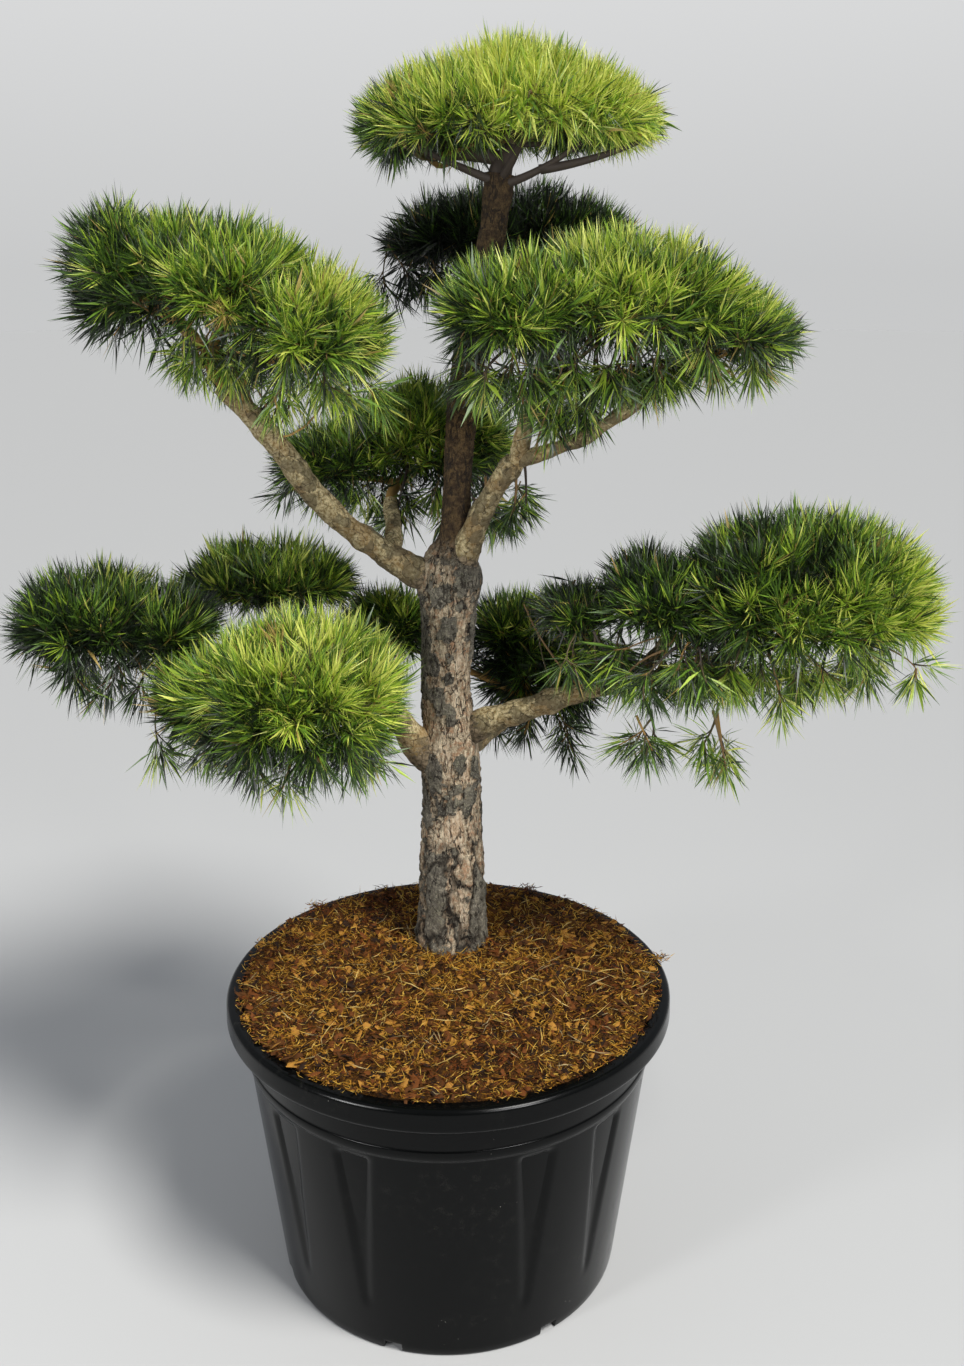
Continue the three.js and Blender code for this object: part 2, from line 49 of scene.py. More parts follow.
# From the front the pale background meets the floor without an edge. The plant gets a sky that is darker
# on the viewer's side, a soft sun from the upper right and two softboxes. Two larger panels add only gloss.
lightSettings = {
    "backgroundLow": (0.576, 0.582, 0.585),
    "backgroundHigh": (0.76, 0.765, 0.77),
    "skyDark": (0.085, 0.09, 0.10),
    "skyBright": (0.34, 0.36, 0.39),
    "sun": {"from": (0.50, -0.46, 1.0), "softDegrees": 18, "strength": 2.95, "colour": (1.0, 0.98, 0.94)},
    "softboxes": {
        "rightBox": {"place": (1.7, -2.4, 1.9), "aim": (0, 0, 0.6), "size": 0.40, "watts": 22},
        "leftBox": {"place": (-1.9, -1.9, 1.7), "aim": (0, 0, 0.6), "size": 0.40, "watts": 22},
    },
    "glossPanels": {
        "rightPanel": {"place": (1.5, -2.3, 2.1), "aim": (0, 0, 0.5), "size": 1.1, "watts": 55},
        "leftPanel": {"place": (-1.9, -2.0, 2.0), "aim": (0, 0, 0.5), "size": 1.1, "watts": 55},
    },
}


def aimAt(place, target):
    # A turn that points an object's -Z from place to target
    return (Vector(target) - Vector(place)).to_track_quat("-Z", "Y").to_euler()


def addLight(name, kind, place, aim, **settings):
    # A lamp that the camera doesn't see
    lampData = bpy.data.lights.new(name, kind)
    for key, value in settings.items():
        setattr(lampData, key, value)
    lamp = bpy.data.objects.new(name, lampData)
    lamp.location = place
    lamp.rotation_euler = aimAt(place, aim)
    lamp.visible_camera = False
    bpy.context.scene.collection.objects.link(lamp)
    return lamp


def setBackground():
    # Two gradients over the sky's directions: upwards for what the camera sees, away from it for the light
    world = bpy.data.worlds.new("studio")
    world.use_nodes = True
    nodes, links = world.node_tree.nodes, world.node_tree.links
    heading, axes = nodes.new("ShaderNodeTexCoord"), nodes.new("ShaderNodeSeparateXYZ")
    links.new(heading.outputs["Generated"], axes.inputs[0])
    rays, choice = nodes.new("ShaderNodeLightPath"), nodes.new("ShaderNodeMixShader")
    links.new(rays.outputs["Is Camera Ray"], choice.inputs[0])
    gradients = (("Y", -0.9, 0.25, "skyDark", "skyBright"),
                 ("Z", 0.0, 0.30, "backgroundLow", "backgroundHigh"))
    for slot, (axis, low, high, first, second) in enumerate(gradients):
        share, blend, glow = (nodes.new("ShaderNode" + kind) for kind in ("MapRange", "Mix", "Background"))
        share.inputs["From Min"].default_value, share.inputs["From Max"].default_value = low, high
        blend.data_type = "RGBA"
        blend.inputs[6].default_value = (*lightSettings[first], 1)
        blend.inputs[7].default_value = (*lightSettings[second], 1)
        links.new(axes.outputs[axis], share.inputs["Value"])
        links.new(share.outputs[0], blend.inputs[0])
        links.new(blend.outputs[2], glow.inputs["Color"])
        links.new(glow.outputs[0], choice.inputs[slot + 1])
    links.new(choice.outputs[0], nodes["World Output"].inputs["Surface"])
    bpy.context.scene.world = world


def setStudio():
    scene = bpy.context.scene
    scene.view_settings.view_transform = "Standard"
    cameraData = bpy.data.cameras.new("frontCamera")
    cameraData.lens = viewSettings["lens"]
    cameraData.shift_y = viewSettings["shiftUp"]
    camera = bpy.data.objects.new("frontCamera", cameraData)
    camera.location = viewSettings["place"]
    camera.rotation_euler = (math.radians(90 - viewSettings["downDegrees"]), 0, 0)
    scene.collection.objects.link(camera)
    scene.camera = camera
    setBackground()
    sun = lightSettings["sun"]
    addLight("sun", "SUN", sun["from"], (0, 0, 0), energy=sun["strength"], color=sun["colour"],
             angle=math.radians(sun["softDegrees"]))
    for group in ("softboxes", "glossPanels"):
        for name, box in lightSettings[group].items():
            lamp = addLight(name, "AREA", box["place"], box["aim"], size=box["size"], energy=box["watts"])
            lamp.visible_diffuse = group == "softboxes"


# Materials: a wire is a node's output, and sums on it add Math nodes

class Wire:
    def __init__(self, finish, socket):
        self.finish = finish
        self.socket = socket

    def sum(self, operation, first, second, clamp=False):
        settings = {"operation": operation, "use_clamp": clamp}
        return self.finish.node("ShaderNodeMath", settings, {0: first, 1: second})

    def __add__(self, other):
        return self.sum("ADD", self, other)

    def __radd__(self, other):
        return self.sum("ADD", other, self)

    def __sub__(self, other):
        return self.sum("SUBTRACT", self, other)

    def __rsub__(self, other):
        return self.sum("SUBTRACT", other, self)

    def __mul__(self, other):
        return self.sum("MULTIPLY", self, other)

    def __rmul__(self, other):
        return self.sum("MULTIPLY", other, self)

    def fromMiddle(self):
        # How far a noise is from its middle value
        return self.sum("ABSOLUTE", self - 0.5, 0.0)

    def clamped(self):
        return self.sum("ADD", self, 0.0, clamp=True)

    def between(self, low, high):
        # 0 up to low, 1 from high, smooth between
        settings = {"interpolation_type": "SMOOTHSTEP"}
        inputs = {"Value": self, "From Min": low, "From Max": high}
        return self.finish.node("ShaderNodeMapRange", settings, inputs)


class Finish:
    def __init__(self, name):
        self.material = bpy.data.materials.new(name)
        self.material.use_nodes = True
        self.tree = self.material.node_tree
        self.tree.nodes.clear()

    def node(self, kind, settings=None, inputs=None, output=0):
        # Any node: its type, its settings, then the values or wires of its inputs
        made = self.tree.nodes.new(kind)
        for key, value in (settings or {}).items():
            setattr(made, key, value)
        for key, value in (inputs or {}).items():
            if isinstance(value, Wire):
                self.tree.links.new(value.socket, made.inputs[key])
            else:
                made.inputs[key].default_value = value
        return Wire(self, made.outputs[output])

    def place(self, stretch=(1, 1, 1)):
        spot = self.node("ShaderNodeTexCoord", output="Object")
        return self.node("ShaderNodeMapping", None, {"Vector": spot, "Scale": stretch})

    def attribute(self, name):
        return self.node("ShaderNodeAttribute", {"attribute_name": name}, output="Fac")

    def noise(self, where, scale, detail=4.0, roughness=0.55):
        inputs = {"Vector": where, "Scale": scale, "Detail": detail, "Roughness": roughness}
        return self.node("ShaderNodeTexNoise", None, inputs)

    def cells(self, where, scale, feature="F1"):
        return self.node("ShaderNodeTexVoronoi", {"feature": feature}, {"Vector": where, "Scale": scale})

    def warped(self, where, scale, amount):
        # The place pushed about by a coloured noise, so that straight cell edges turn ragged
        inputs = {"Vector": where, "Scale": scale, "Detail": 3.0}
        push = self.node("ShaderNodeTexNoise", None, inputs, output=1)
        push = self.node("ShaderNodeVectorMath", {"operation": "SUBTRACT"}, {0: push, 1: (0.5, 0.5, 0.5)})
        push = self.node("ShaderNodeVectorMath", {"operation": "SCALE"}, {0: push, "Scale": amount})
        return self.node("ShaderNodeVectorMath", {"operation": "ADD"}, {0: where, 1: push})

    def blend(self, share, first, second):
        # One colour turning into another as share goes from 0 to 1
        first, second = (c if isinstance(c, Wire) else (*c, 1.0) for c in (first, second))
        return self.node("ShaderNodeMix", {"data_type": "RGBA"}, {0: share, 6: first, 7: second}, output=2)

    def bump(self, height, distance, strength=1.0):
        inputs = {"Height": height, "Distance": distance, "Strength": strength}
        return self.node("ShaderNodeBump", None, inputs)

    def finished(self, **inputs):
        # The main shader with these inputs, whose names have an underscore for each space
        ready = {key.replace("_", " "): value for key, value in inputs.items()}
        if isinstance(ready.get("Base Color"), tuple):
            ready["Base Color"] = (*ready["Base Color"], 1.0)
        surface = self.node("ShaderNodeBsdfPrincipled", None, ready)
        end = self.tree.nodes.new("ShaderNodeOutputMaterial")
        self.tree.links.new(surface.socket, end.inputs["Surface"])
        return self.material


def shade(red, green, blue):
    # A colour given on a 0 to 255 screen scale, as the linear numbers that a shader takes
    screen = (red, green, blue)
    return tuple(((c / 255 + 0.055) / 1.055) ** 2.4 if c > 10 else c / 255 / 12.92 for c in screen)


# Meshes from whole arrays

def lerp(first, second, share):
    return first + (second - first) * share


def smoothStep(low, high, value):
    # 0 up to low, 1 from high, and 3t^2 - 2t^3 between
    part = np.clip((value - low) / (high - low), 0, 1)
    return part * part * (3 - 2 * part)


def squareTo(ways):
    # Two unit vectors square to each direction and to each other
    helper = np.where(np.abs(ways[:, 2:]) > 0.9, [[1.0, 0, 0]], [[0, 0, 1.0]])
    side = np.cross(helper, ways)
    side /= np.linalg.norm(side, axis=1, keepdims=True)
    return side, np.cross(ways, side)


def outwardFaces(points, faces):
    # The volume is the sum of corner products over a fan of each face; below nought, all faces turn over
    volume = 0.0
    for group in faces:
        for corner in range(1, group.shape[1] - 1):
            a, b, c = points[group[:, 0]], points[group[:, corner]], points[group[:, corner + 1]]
            volume += np.einsum("ij,ij->", a, np.cross(b, c))
    return faces if volume > 0 else [group[:, ::-1] for group in faces]


def makePiece(name, points, faces, materials, replaced=(), smooth=True, tones=None,
              attributes=None):
    # faces is a list of whole arrays of corner numbers; tones gives each face its material
    mesh = bpy.data.meshes.new(name)
    mesh.vertices.add(len(points))
    mesh.vertices.foreach_set("co", np.asarray(points, np.float32).ravel())
    corners = np.concatenate([group.ravel() for group in faces]).astype(np.int32)
    counts = np.concatenate([np.full(len(group), group.shape[1]) for group in faces])
    mesh.loops.add(len(corners))
    mesh.loops.foreach_set("vertex_index", corners)
    mesh.polygons.add(len(counts))
    mesh.polygons.foreach_set("loop_start", (np.cumsum(counts) - counts).astype(np.int32))
    mesh.polygons.foreach_set("use_smooth", np.full(len(counts), smooth))
    for material in materials:
        mesh.materials.append(material)
    if tones is not None:
        mesh.polygons.foreach_set("material_index", tones.astype(np.int32))
    for key, values in (attributes or {}).items():
        mesh.attributes.new(key, "FLOAT", "POINT").data.foreach_set("value", values.astype(np.float32))
    mesh.update(calc_edges=True)
    piece = bpy.data.objects.new(name, mesh)
    bpy.context.scene.collection.objects.link(piece)
    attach(piece, "root")
    if replaced:
        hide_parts(*replaced)


def ringFaces(rings, sides):
    # Quads between rings of points that close on themselves, numbered ring by ring
    ring, side = np.meshgrid(np.arange(rings - 1), np.arange(sides), indexing="ij")
    beside = (side + 1) % sides
    low, high = ring * sides, (ring + 1) * sides
    return np.stack([low + side, low + beside, high + beside, high + side], -1).reshape(-1, 4)


def capFaces(rings, sides):
    # Fans of triangles from the first and last ring to the two end points that follow the rings
    side = np.arange(sides)
    beside = (side + 1) % sides
    first, last = rings * sides, rings * sides + 1
    start = np.stack([np.full(sides, first), beside, side], -1)
    end = np.stack([np.full(sides, last), (rings - 1) * sides + side, (rings - 1) * sides + beside], -1)
    return np.concatenate([start, end])


def mixedNumbers(column, row, seed):
    # Three repeatable numbers from 0 to 1 for each pair of whole numbers
    key = (column.astype(np.int64) * 73856093) ^ (row.astype(np.int64) * 19349663) ^ (seed * 83492791)
    result = []
    for turn in range(3):
        key = (key ^ (key >> 15)) * 2246822519 % 4294967291
        key = (key ^ (key >> 13)) * 3266489917 % 4294967279
        result.append(key % 65536 / 65536)
    return result


def softNoise(points, size, seed):
    # Numbers from -1 to 1 on a lattice of that size, blended between its corners by a smooth step
    cell = np.asarray(points) / size
    base = np.floor(cell).astype(np.int64)
    part = cell - base
    part = part * part * (3 - 2 * part)
    total = np.zeros(len(cell))
    for corner in range(8):
        offset = np.array([corner & 1, corner >> 1 & 1, corner >> 2 & 1])
        lattice = base + offset
        number = mixedNumbers(lattice[:, 0] * 7919 + lattice[:, 1], lattice[:, 2], seed)[0]
        total += np.prod(np.where(offset == 1, part, 1 - part), axis=1) * (number * 2 - 1)
    return total


def plateCells(around, along, girth, wide, tall, seed):
    # Scattered centres, one to each cell of a grid wrapped round the limb: how far the nearest and
    # the next nearest are, in cells, and a number for the nearest
    columns = max(3, round(girth / wide))
    across, up = around * columns / girth, along / tall
    column, row = np.floor(across), np.floor(up)
    nearest, second = np.full(len(across), 9.0), np.full(len(across), 9.0)
    owner = np.zeros(len(across))
    for stepAcross in (-1, 0, 1):
        for stepUp in (-1, 0, 1):
            jitterAcross, jitterUp, number = mixedNumbers((column + stepAcross) % columns, row + stepUp, seed)
            distance = np.hypot(column + stepAcross + jitterAcross - across, row + stepUp + jitterUp - up)
            closer = distance < nearest
            second = np.where(closer, nearest, np.minimum(second, distance))
            owner = np.where(closer, number, owner)
            nearest = np.where(closer, distance, nearest)
    return nearest, second, owner


# Pot: a turned shell with a rolled lip, a ring, pressed flutes and notches at its foot

potSettings = {
    "rimRadius": 0.386,
    "rimHeight": 0.494,
    "baseRadius": 0.294,
    "taperTop": 0.364,
    "wall": 0.005,
    "floor": 0.012,
    "lipFoot": 0.456,
    "lipRound": 0.009,
    "ringTop": 0.404,
    "ringFoot": 0.385,
    "ringProud": 0.0026,
    # flutes are channels that narrow downwards: their middles in degrees from the front, how wide and deep
    "fluteTurns": (24.4, 48.9, 131.1, 155.6),
    "fluteHalfWidths": (1.6, 5.7),
    "fluteDepths": (0.0026, 0.0070),
    "fluteSpan": (0.070, 0.381),
    "fluteEdges": (2.6, 0.7),       # how far a flute's edge slopes inwards and outwards, in degrees
    "fluteEnds": (0.030, 0.014),    # how long its foot and its top fade
    "middle": 0.15,     # the radius of the innermost ring, under the pot and on its floor
    "columns": 480,
    "notchTurn": -17.0,
    "notches": 7,
    "notchWidth": 0.030,
    "notchHeight": 0.015,
    "notchInner": 0.262,
}


def wallRadius(height):
    # The wall widens evenly from its foot to the rim's height
    return lerp(potSettings["baseRadius"], potSettings["taperTop"], height / potSettings["rimHeight"])


def wallLine(heights, inset=0.0):
    # Points up the wall, as (radius, height) pairs
    return np.stack([wallRadius(heights) - inset, heights], -1)


def arcPoints(centre, radius, fromDegrees, toDegrees, count):
    # Points on an arc, as (radius, height) pairs
    turn = np.radians(np.linspace(fromDegrees, toDegrees, count))
    return np.stack([centre[0] + radius * np.cos(turn), centre[1] + radius * np.sin(turn)], -1)


def plasticFinish():
    finish = Finish("mouldedBlackPlastic")
    where = finish.place()
    streaks = finish.noise(finish.place((1, 1, 0.12)), 34, 3)
    clouds = finish.noise(where, 5, 3)
    grain = finish.noise(where, 900, 2)
    dust = finish.noise(where, 60, 5, 0.7).between(0.5, 0.78) * clouds.between(0.42, 0.7)
    specks = finish.cells(where, 95).between(0.07, 0.03) * finish.noise(where, 11).between(0.62, 0.66)
    black = finish.blend(clouds, shade(6, 7, 7), shade(10, 11, 11))
    dusty = finish.blend(dust * 0.16, black, shade(80, 78, 72))
    colour = finish.blend(specks * 0.8, dusty, shade(185, 182, 172))
    roughness = 0.15 + 0.06 * streaks + 0.2 * dust
    normal = finish.bump(grain * 0.3 + streaks, 0.00030, 0.3)
    return finish.finished(Base_Color=colour, Roughness=roughness, Normal=normal, Specular_IOR_Level=0.13)


def potFoot():
    # The profile under the pot and round its foot, as (radius, height) pairs: plain, and where a notch is cut
    inner, top = potSettings["notchInner"], potSettings["notchHeight"]
    under = [[potSettings["middle"], 0], [inner - 0.002, 0], [inner, 0]]
    edge = [wallRadius(top - 0.0002), top - 0.0002]
    above = [wallRadius(top + 0.002), top + 0.002]
    plain = [*under, [0.2895, 0], [0.2928, 0.0012], [0.2942, 0.004], edge, above]
    roof = [[inner, top - 0.0002], [edge[0] - 0.0004, top]]
    notched = [*under, [inner, 0.005], [inner, 0.01], *roof, above]
    return np.array(plain), np.array(notched)


def potBody():
    # The profile from the foot up the wall, over the ring, the band and the lip, and down inside to the floor
    settings = potSettings
    rimRadius, rimHeight, lipFoot = settings["rimRadius"], settings["rimHeight"], settings["lipFoot"]
    lipRound, thickness, floor = settings["lipRound"], settings["wall"], settings["floor"]
    wall = wallLine(np.linspace(0.022, settings["ringFoot"] - 0.003, 60))
    ringTurn = np.linspace(0, np.pi, 9)
    ringHeights = lerp(settings["ringFoot"], settings["ringTop"], (1 - np.cos(ringTurn)) / 2)
    ring = wallLine(ringHeights, -settings["ringProud"] * np.sin(ringTurn))
    band = wallLine(np.linspace(settings["ringTop"] + 0.003, lipFoot - 0.006, 6))
    underLip = arcPoints((wallRadius(lipFoot) + 0.006, lipFoot - 0.008), 0.006, 180, 90, 6)
    lipSkirt = arcPoints((rimRadius - 0.009, lipFoot + 0.007), 0.009, -90, 0, 9)
    lipFace = [[rimRadius, lipFoot + 0.012], [rimRadius - 0.0003, lipFoot + 0.02]]
    lipTop = arcPoints((rimRadius - 0.0003 - lipRound, rimHeight - lipRound), lipRound, 0, 90, 9)
    innerTop = wallRadius(rimHeight) - thickness
    lipInner = arcPoints((innerTop + 0.004, rimHeight - 0.0045), 0.004, 90, 180, 6)
    innerWall = wallLine(np.linspace(rimHeight - 0.012, floor + 0.006, 8), thickness)
    innerFoot = [[wallRadius(floor) - thickness - 0.004, floor], [settings["middle"], floor]]
    lip = [underLip, lipSkirt, lipFace, lipTop, lipInner]
    return np.concatenate([wall, ring, band, *lip, innerWall, innerFoot])


def fluteDepths(turns, radius, height):
    # How far the wall is pressed in: flutes grow wider and deeper upwards, with smooth steps all round them
    settings = potSettings
    foot, top = settings["fluteSpan"]
    inward, outward = settings["fluteEdges"]
    footFade, topFade = settings["fluteEnds"]
    onWall = (height > foot) & (height < top) & (radius > wallRadius(height) - 0.002)
    rise = np.clip((height - foot) / (top - foot), 0, 1)
    fromFront = np.abs((turns + 180) % 360 - 180)[:, None]
    halfWidth, depth = lerp(*settings["fluteHalfWidths"], rise), lerp(*settings["fluteDepths"], rise)
    pressed = np.zeros_like(radius)
    for middle in settings["fluteTurns"]:
        pressed += 1 - smoothStep(halfWidth - inward, halfWidth + outward, np.abs(fromFront - middle))
    ends = smoothStep(foot, foot + footFade, height) * (1 - smoothStep(top - topFade, top, height))
    return np.where(onWall, depth * pressed * ends, 0)


def makePot():
    # The profile turned round the pot's axis, with a column of points on each side of every notch's edges
    settings = potSettings
    turns = np.linspace(0, 360, settings["columns"], endpoint=False)
    notchTurns = settings["notchTurn"] + 360 / settings["notches"] * np.arange(settings["notches"])
    half = math.degrees(settings["notchWidth"] / 2 / settings["baseRadius"])
    edges = [notchTurns + side * (half + offset) for side in (-1, 1) for offset in (-0.12, 0.12)]
    turns = np.unique(np.concatenate([turns, np.concatenate(edges) % 360]))
    offsets = np.abs((turns[:, None] - notchTurns[None, :] + 180) % 360 - 180).min(1)
    inNotch = (offsets < half).astype(float)[:, None, None]
    plain, notched = potFoot()
    body = potBody()
    body = np.broadcast_to(body, (len(turns), *body.shape))
    profile = np.concatenate([lerp(plain, notched, inNotch), body], 1)
    radius, height = profile[..., 0], profile[..., 1]
    radius = radius - fluteDepths(turns, radius, height)
    turn = np.radians(turns - 90)[:, None]
    rings = np.stack([radius * np.cos(turn), radius * np.sin(turn), height], -1).transpose(1, 0, 2)
    count, sides = rings.shape[:2]
    points = np.concatenate([rings.reshape(-1, 3), [[0, 0, 0], [0, 0, settings["floor"]]]])
    faces = outwardFaces(points, [ringFaces(count, sides), capFaces(count, sides)])
    makePiece("pot_shell", points, faces, [plasticFinish()], ["pot"])


# Soil: a bed of bark and coir with loose chips, fibres and straws on it

soilSettings = {
    "top": 0.504,
    "levelRadius": 0.235,
    "edgeHeight": 0.4965,
    "shoulderDrop": 0.002,
    "roughness": 0.0058,
    "columns": 320,
    "trunkFoot": (0.002, 0.125),    # where the trunk stands
    "lumpsBegin": (0.06, 0.10),     # how far from it lumps fade in, and how far loose bits begin
    "litterBegins": 0.062,
    "seed": 41,
    # loose bits lie on the lip's flat top out to litterRadius; at overRim clumps of fibre hang over the rim
    "litterRadius": 0.3715,
    "overRim": ((0.378, 0.060), (-0.262, 0.262), (0.150, 0.335)),
    "clumpFibres": 130,
    "fibres": 22000,
    "straws": 260,
    "chips": 4200,
    "fibreLengths": (0.006, 0.026),
    "fibreWidth": 0.0012,
    "strawLengths": (0.025, 0.062),
    "strawWidths": (0.0012, 0.0024),
    "chipSizes": (0.003, 0.012),
}


def soilEdge(height):
    # The bed's radius at a height: the pot's inner wall, less a hair
    return wallRadius(height) - potSettings["wall"] - 0.0012


def fromTrunkFoot(x, y):
    # How far spots on the soil are from the middle of the trunk's foot
    return np.hypot(x - soilSettings["trunkFoot"][0], y - soilSettings["trunkFoot"][1])


def soilHeight(x, y):
    # Level in the middle, a little lower at the wall, with lumps of three sizes that end at the trunk's foot
    settings = soilSettings
    radius = np.hypot(x, y)
    edge = soilEdge(settings["edgeHeight"])
    shoulder = (settings["levelRadius"] + edge) / 2
    stops = [0, settings["levelRadius"], shoulder, edge]
    top = settings["top"]
    heights = [top, top, top - settings["shoulderDrop"], settings["edgeHeight"]]
    level = np.interp(radius, stops, heights)
    flat = np.stack([x, y, np.zeros_like(x)], -1)
    lumps = softNoise(flat, 0.045, 3) + 0.8 * softNoise(flat, 0.017, 4) + 0.5 * softNoise(flat, 0.007, 5)
    fade = smoothStep(*settings["lumpsBegin"], fromTrunkFoot(x, y))
    return level + settings["roughness"] * lumps * fade - 0.001


def bedFinish():
    finish = Finish("barkAndCoirBed")
    where = finish.place()
    lumps = finish.noise(where, 30, 5, 0.6)
    crumbs = finish.cells(where, 260)
    fibres = finish.noise(where, 460, 4, 0.7)
    dark = finish.blend(fibres, shade(20, 11, 4), shade(62, 35, 10))
    golden = finish.blend(crumbs, shade(128, 84, 20), shade(70, 40, 9))
    colour = finish.blend((lumps + fibres - 0.5).between(0.38, 0.62), dark, golden)
    normal = finish.bump(crumbs + fibres, 0.004, 1.0)
    return finish.finished(Base_Color=colour, Roughness=0.95, Normal=normal, Specular_IOR_Level=0.15)


def plainFinish(name, colour, roughness, gloss=0.5):
    return Finish(name).finished(Base_Color=colour, Roughness=roughness, Specular_IOR_Level=gloss)


def makeSoil():
    # Rings at the soil's height out to the wall, then down the wall to the pot's floor
    settings = soilSettings
    sides = settings["columns"]
    edge = soilEdge(settings["edgeHeight"])
    radii = np.concatenate([np.linspace(0.004, 0.30, 96), np.linspace(0.303, edge, 24)])[:, None]
    turn = np.linspace(0, 2 * np.pi, sides, endpoint=False)
    x, y = radii * np.cos(turn), radii * np.sin(turn)
    top = np.stack([x, y, soilHeight(x.ravel(), y.ravel()).reshape(x.shape)], -1)
    floor = potSettings["floor"] + 0.0005
    heights = np.array([0.40, 0.2, floor + 0.004, floor])[:, None]
    reach = soilEdge(heights) - np.array([0, 0, 0, 0.002])[:, None]
    level = np.broadcast_to(heights, (len(heights), sides))
    rings = np.concatenate([top, np.stack([reach * np.cos(turn), reach * np.sin(turn), level], -1)])
    ends = [[0, 0, soilHeight(np.zeros(1), np.zeros(1))[0]], [0, 0, floor]]
    points = np.concatenate([rings.reshape(-1, 3), ends])
    faces = outwardFaces(points, [ringFaces(len(rings), sides), capFaces(len(rings), sides)])
    makePiece("soil_bed", points, faces, [bedFinish()], ["soil"])
    random = np.random.default_rng(settings["seed"])
    makeFibres(random)
    makeStraws(random)
    makeChips(random)


def scatterOnSoil(count, random, margin):
    # Points spread evenly over the soil and the lip's inner half, outside the trunk's foot
    radius = np.sqrt(random.random(count * 2)) * (soilSettings["litterRadius"] - margin)
    turn = random.random(count * 2) * 2 * np.pi
    x, y = radius * np.cos(turn), radius * np.sin(turn)
    free = fromTrunkFoot(x, y) > soilSettings["litterBegins"]
    x, y, radius = x[free][:count], y[free][:count], radius[free][:count]
    height = soilHeight(x, y)
    onLip = radius > soilEdge(soilSettings["edgeHeight"]) - 0.003
    return x, y, np.where(onLip, np.maximum(height, potSettings["rimHeight"] + 0.0010), height)


def spindles(roots, middles, tips, widths, turns):
    # Each is a root point, three points round its middle, a tip point and six faces
    axis = tips - roots
    side, other = squareTo(axis / np.linalg.norm(axis, axis=1, keepdims=True))
    corners = [roots]
    for third in range(3):
        angle = (turns + third * 2 * np.pi / 3)[:, None]
        corners.append(middles + widths[:, None] / 2 * (np.cos(angle) * side + np.sin(angle) * other))
    corners.append(tips)
    points = np.stack(corners, 1)
    pattern = np.array([[0, 2, 1], [0, 3, 2], [0, 1, 3], [4, 1, 2], [4, 2, 3], [4, 3, 1]])
    faces = (np.arange(len(roots))[:, None, None] * 5 + pattern).reshape(-1, 3)
    return points.reshape(-1, 3), faces


def makeFibres(random):
    # Thin bent spindles that lie at all angles, some of them in clumps over the rim
    settings = soilSettings
    finishes = [
        plainFinish("coirGolden", shade(174, 124, 34), 0.8, 0.2),
        plainFinish("coirTan", shade(206, 166, 70), 0.8, 0.2),
        plainFinish("coirBrown", shade(96, 58, 14), 0.85, 0.2),
        plainFinish("coirDark", shade(36, 20, 7), 0.9, 0.2),
        plainFinish("coirRust", shade(120, 62, 15), 0.85, 0.2),
    ]
    count = settings["fibres"]
    x, y, z = scatterOnSoil(count, random, 0.004)
    heading = random.random(count) * 2 * np.pi
    length = lerp(*settings["fibreLengths"], random.random(count) ** 1.6)
    lift = random.normal(0.22, 0.38, count) * lerp(1.0, 0.3, smoothStep(0.33, 0.36, np.hypot(x, y)))
    way = np.stack([np.cos(heading), np.sin(heading), lift], -1)
    root = np.stack([x, y, z + 0.0005 + 0.003 * random.random(count)], -1)
    tip = root + way * length[:, None]
    middle = (root + tip) / 2 + random.normal(0, 1, (count, 3)) * (length * 0.16)[:, None] * [1, 1, 0.5]
    tip, middle = keepInRim(tip), keepInRim(middle)
    spots = [[*spot, potSettings["rimHeight"] + 0.002] for spot in settings["overRim"]]
    clumps = np.repeat(spots, settings["clumpFibres"], 0)
    spread = random.normal(0, 1, clumps.shape) * [0.007, 0.007, 0.0]
    moved = len(clumps)
    root[:moved] = clumps + spread + [0, 0, 1] * random.uniform(0, 0.007, (moved, 1))
    tip[:moved] = root[:moved] + (way * length[:, None])[:moved] * 0.6
    middle[:moved] = (root + tip)[:moved] / 2
    width = settings["fibreWidth"] * lerp(0.6, 1.7, random.random(count))
    points, faces = spindles(root, middle, tip, width, random.random(count) * 6)
    patch = softNoise(root, 0.03, 8)
    tone = np.digitize(random.random(count) + 0.55 * patch, [0.30, 0.45, 0.68, 0.90])
    tones = np.repeat(tone, 6)
    makePiece("soil_fibres", points, [faces], finishes, ["soil"], smooth=False, tones=tones)


def makeStraws(random):
    # Old needles and straws, longer and straighter than the fibres, on top of them
    settings = soilSettings
    count = settings["straws"]
    x, y, z = scatterOnSoil(count, random, 0.02)
    heading = random.random(count) * 2 * np.pi
    length = lerp(*settings["strawLengths"], random.random(count) ** 1.5)
    way = np.stack([np.cos(heading), np.sin(heading), random.normal(0.06, 0.14, count)], -1)
    root = np.stack([x, y, z + 0.004 + 0.003 * random.random(count)], -1)
    tip = keepInRim(root + way * length[:, None])
    middle = (root + tip) / 2 + random.normal(0, 1, (count, 3)) * (length * 0.06)[:, None]
    width = lerp(*settings["strawWidths"], random.random(count))
    points, faces = spindles(root, middle, tip, width, random.random(count) * 6)
    finishes = [
        plainFinish("strawPale", shade(212, 180, 100), 0.6),
        plainFinish("strawGrey", shade(164, 144, 98), 0.7),
    ]
    tones = np.repeat((random.random(count) > 0.6).astype(int), 6)
    makePiece("soil_straws", points, [faces], finishes, ["soil"], smooth=False, tones=tones)


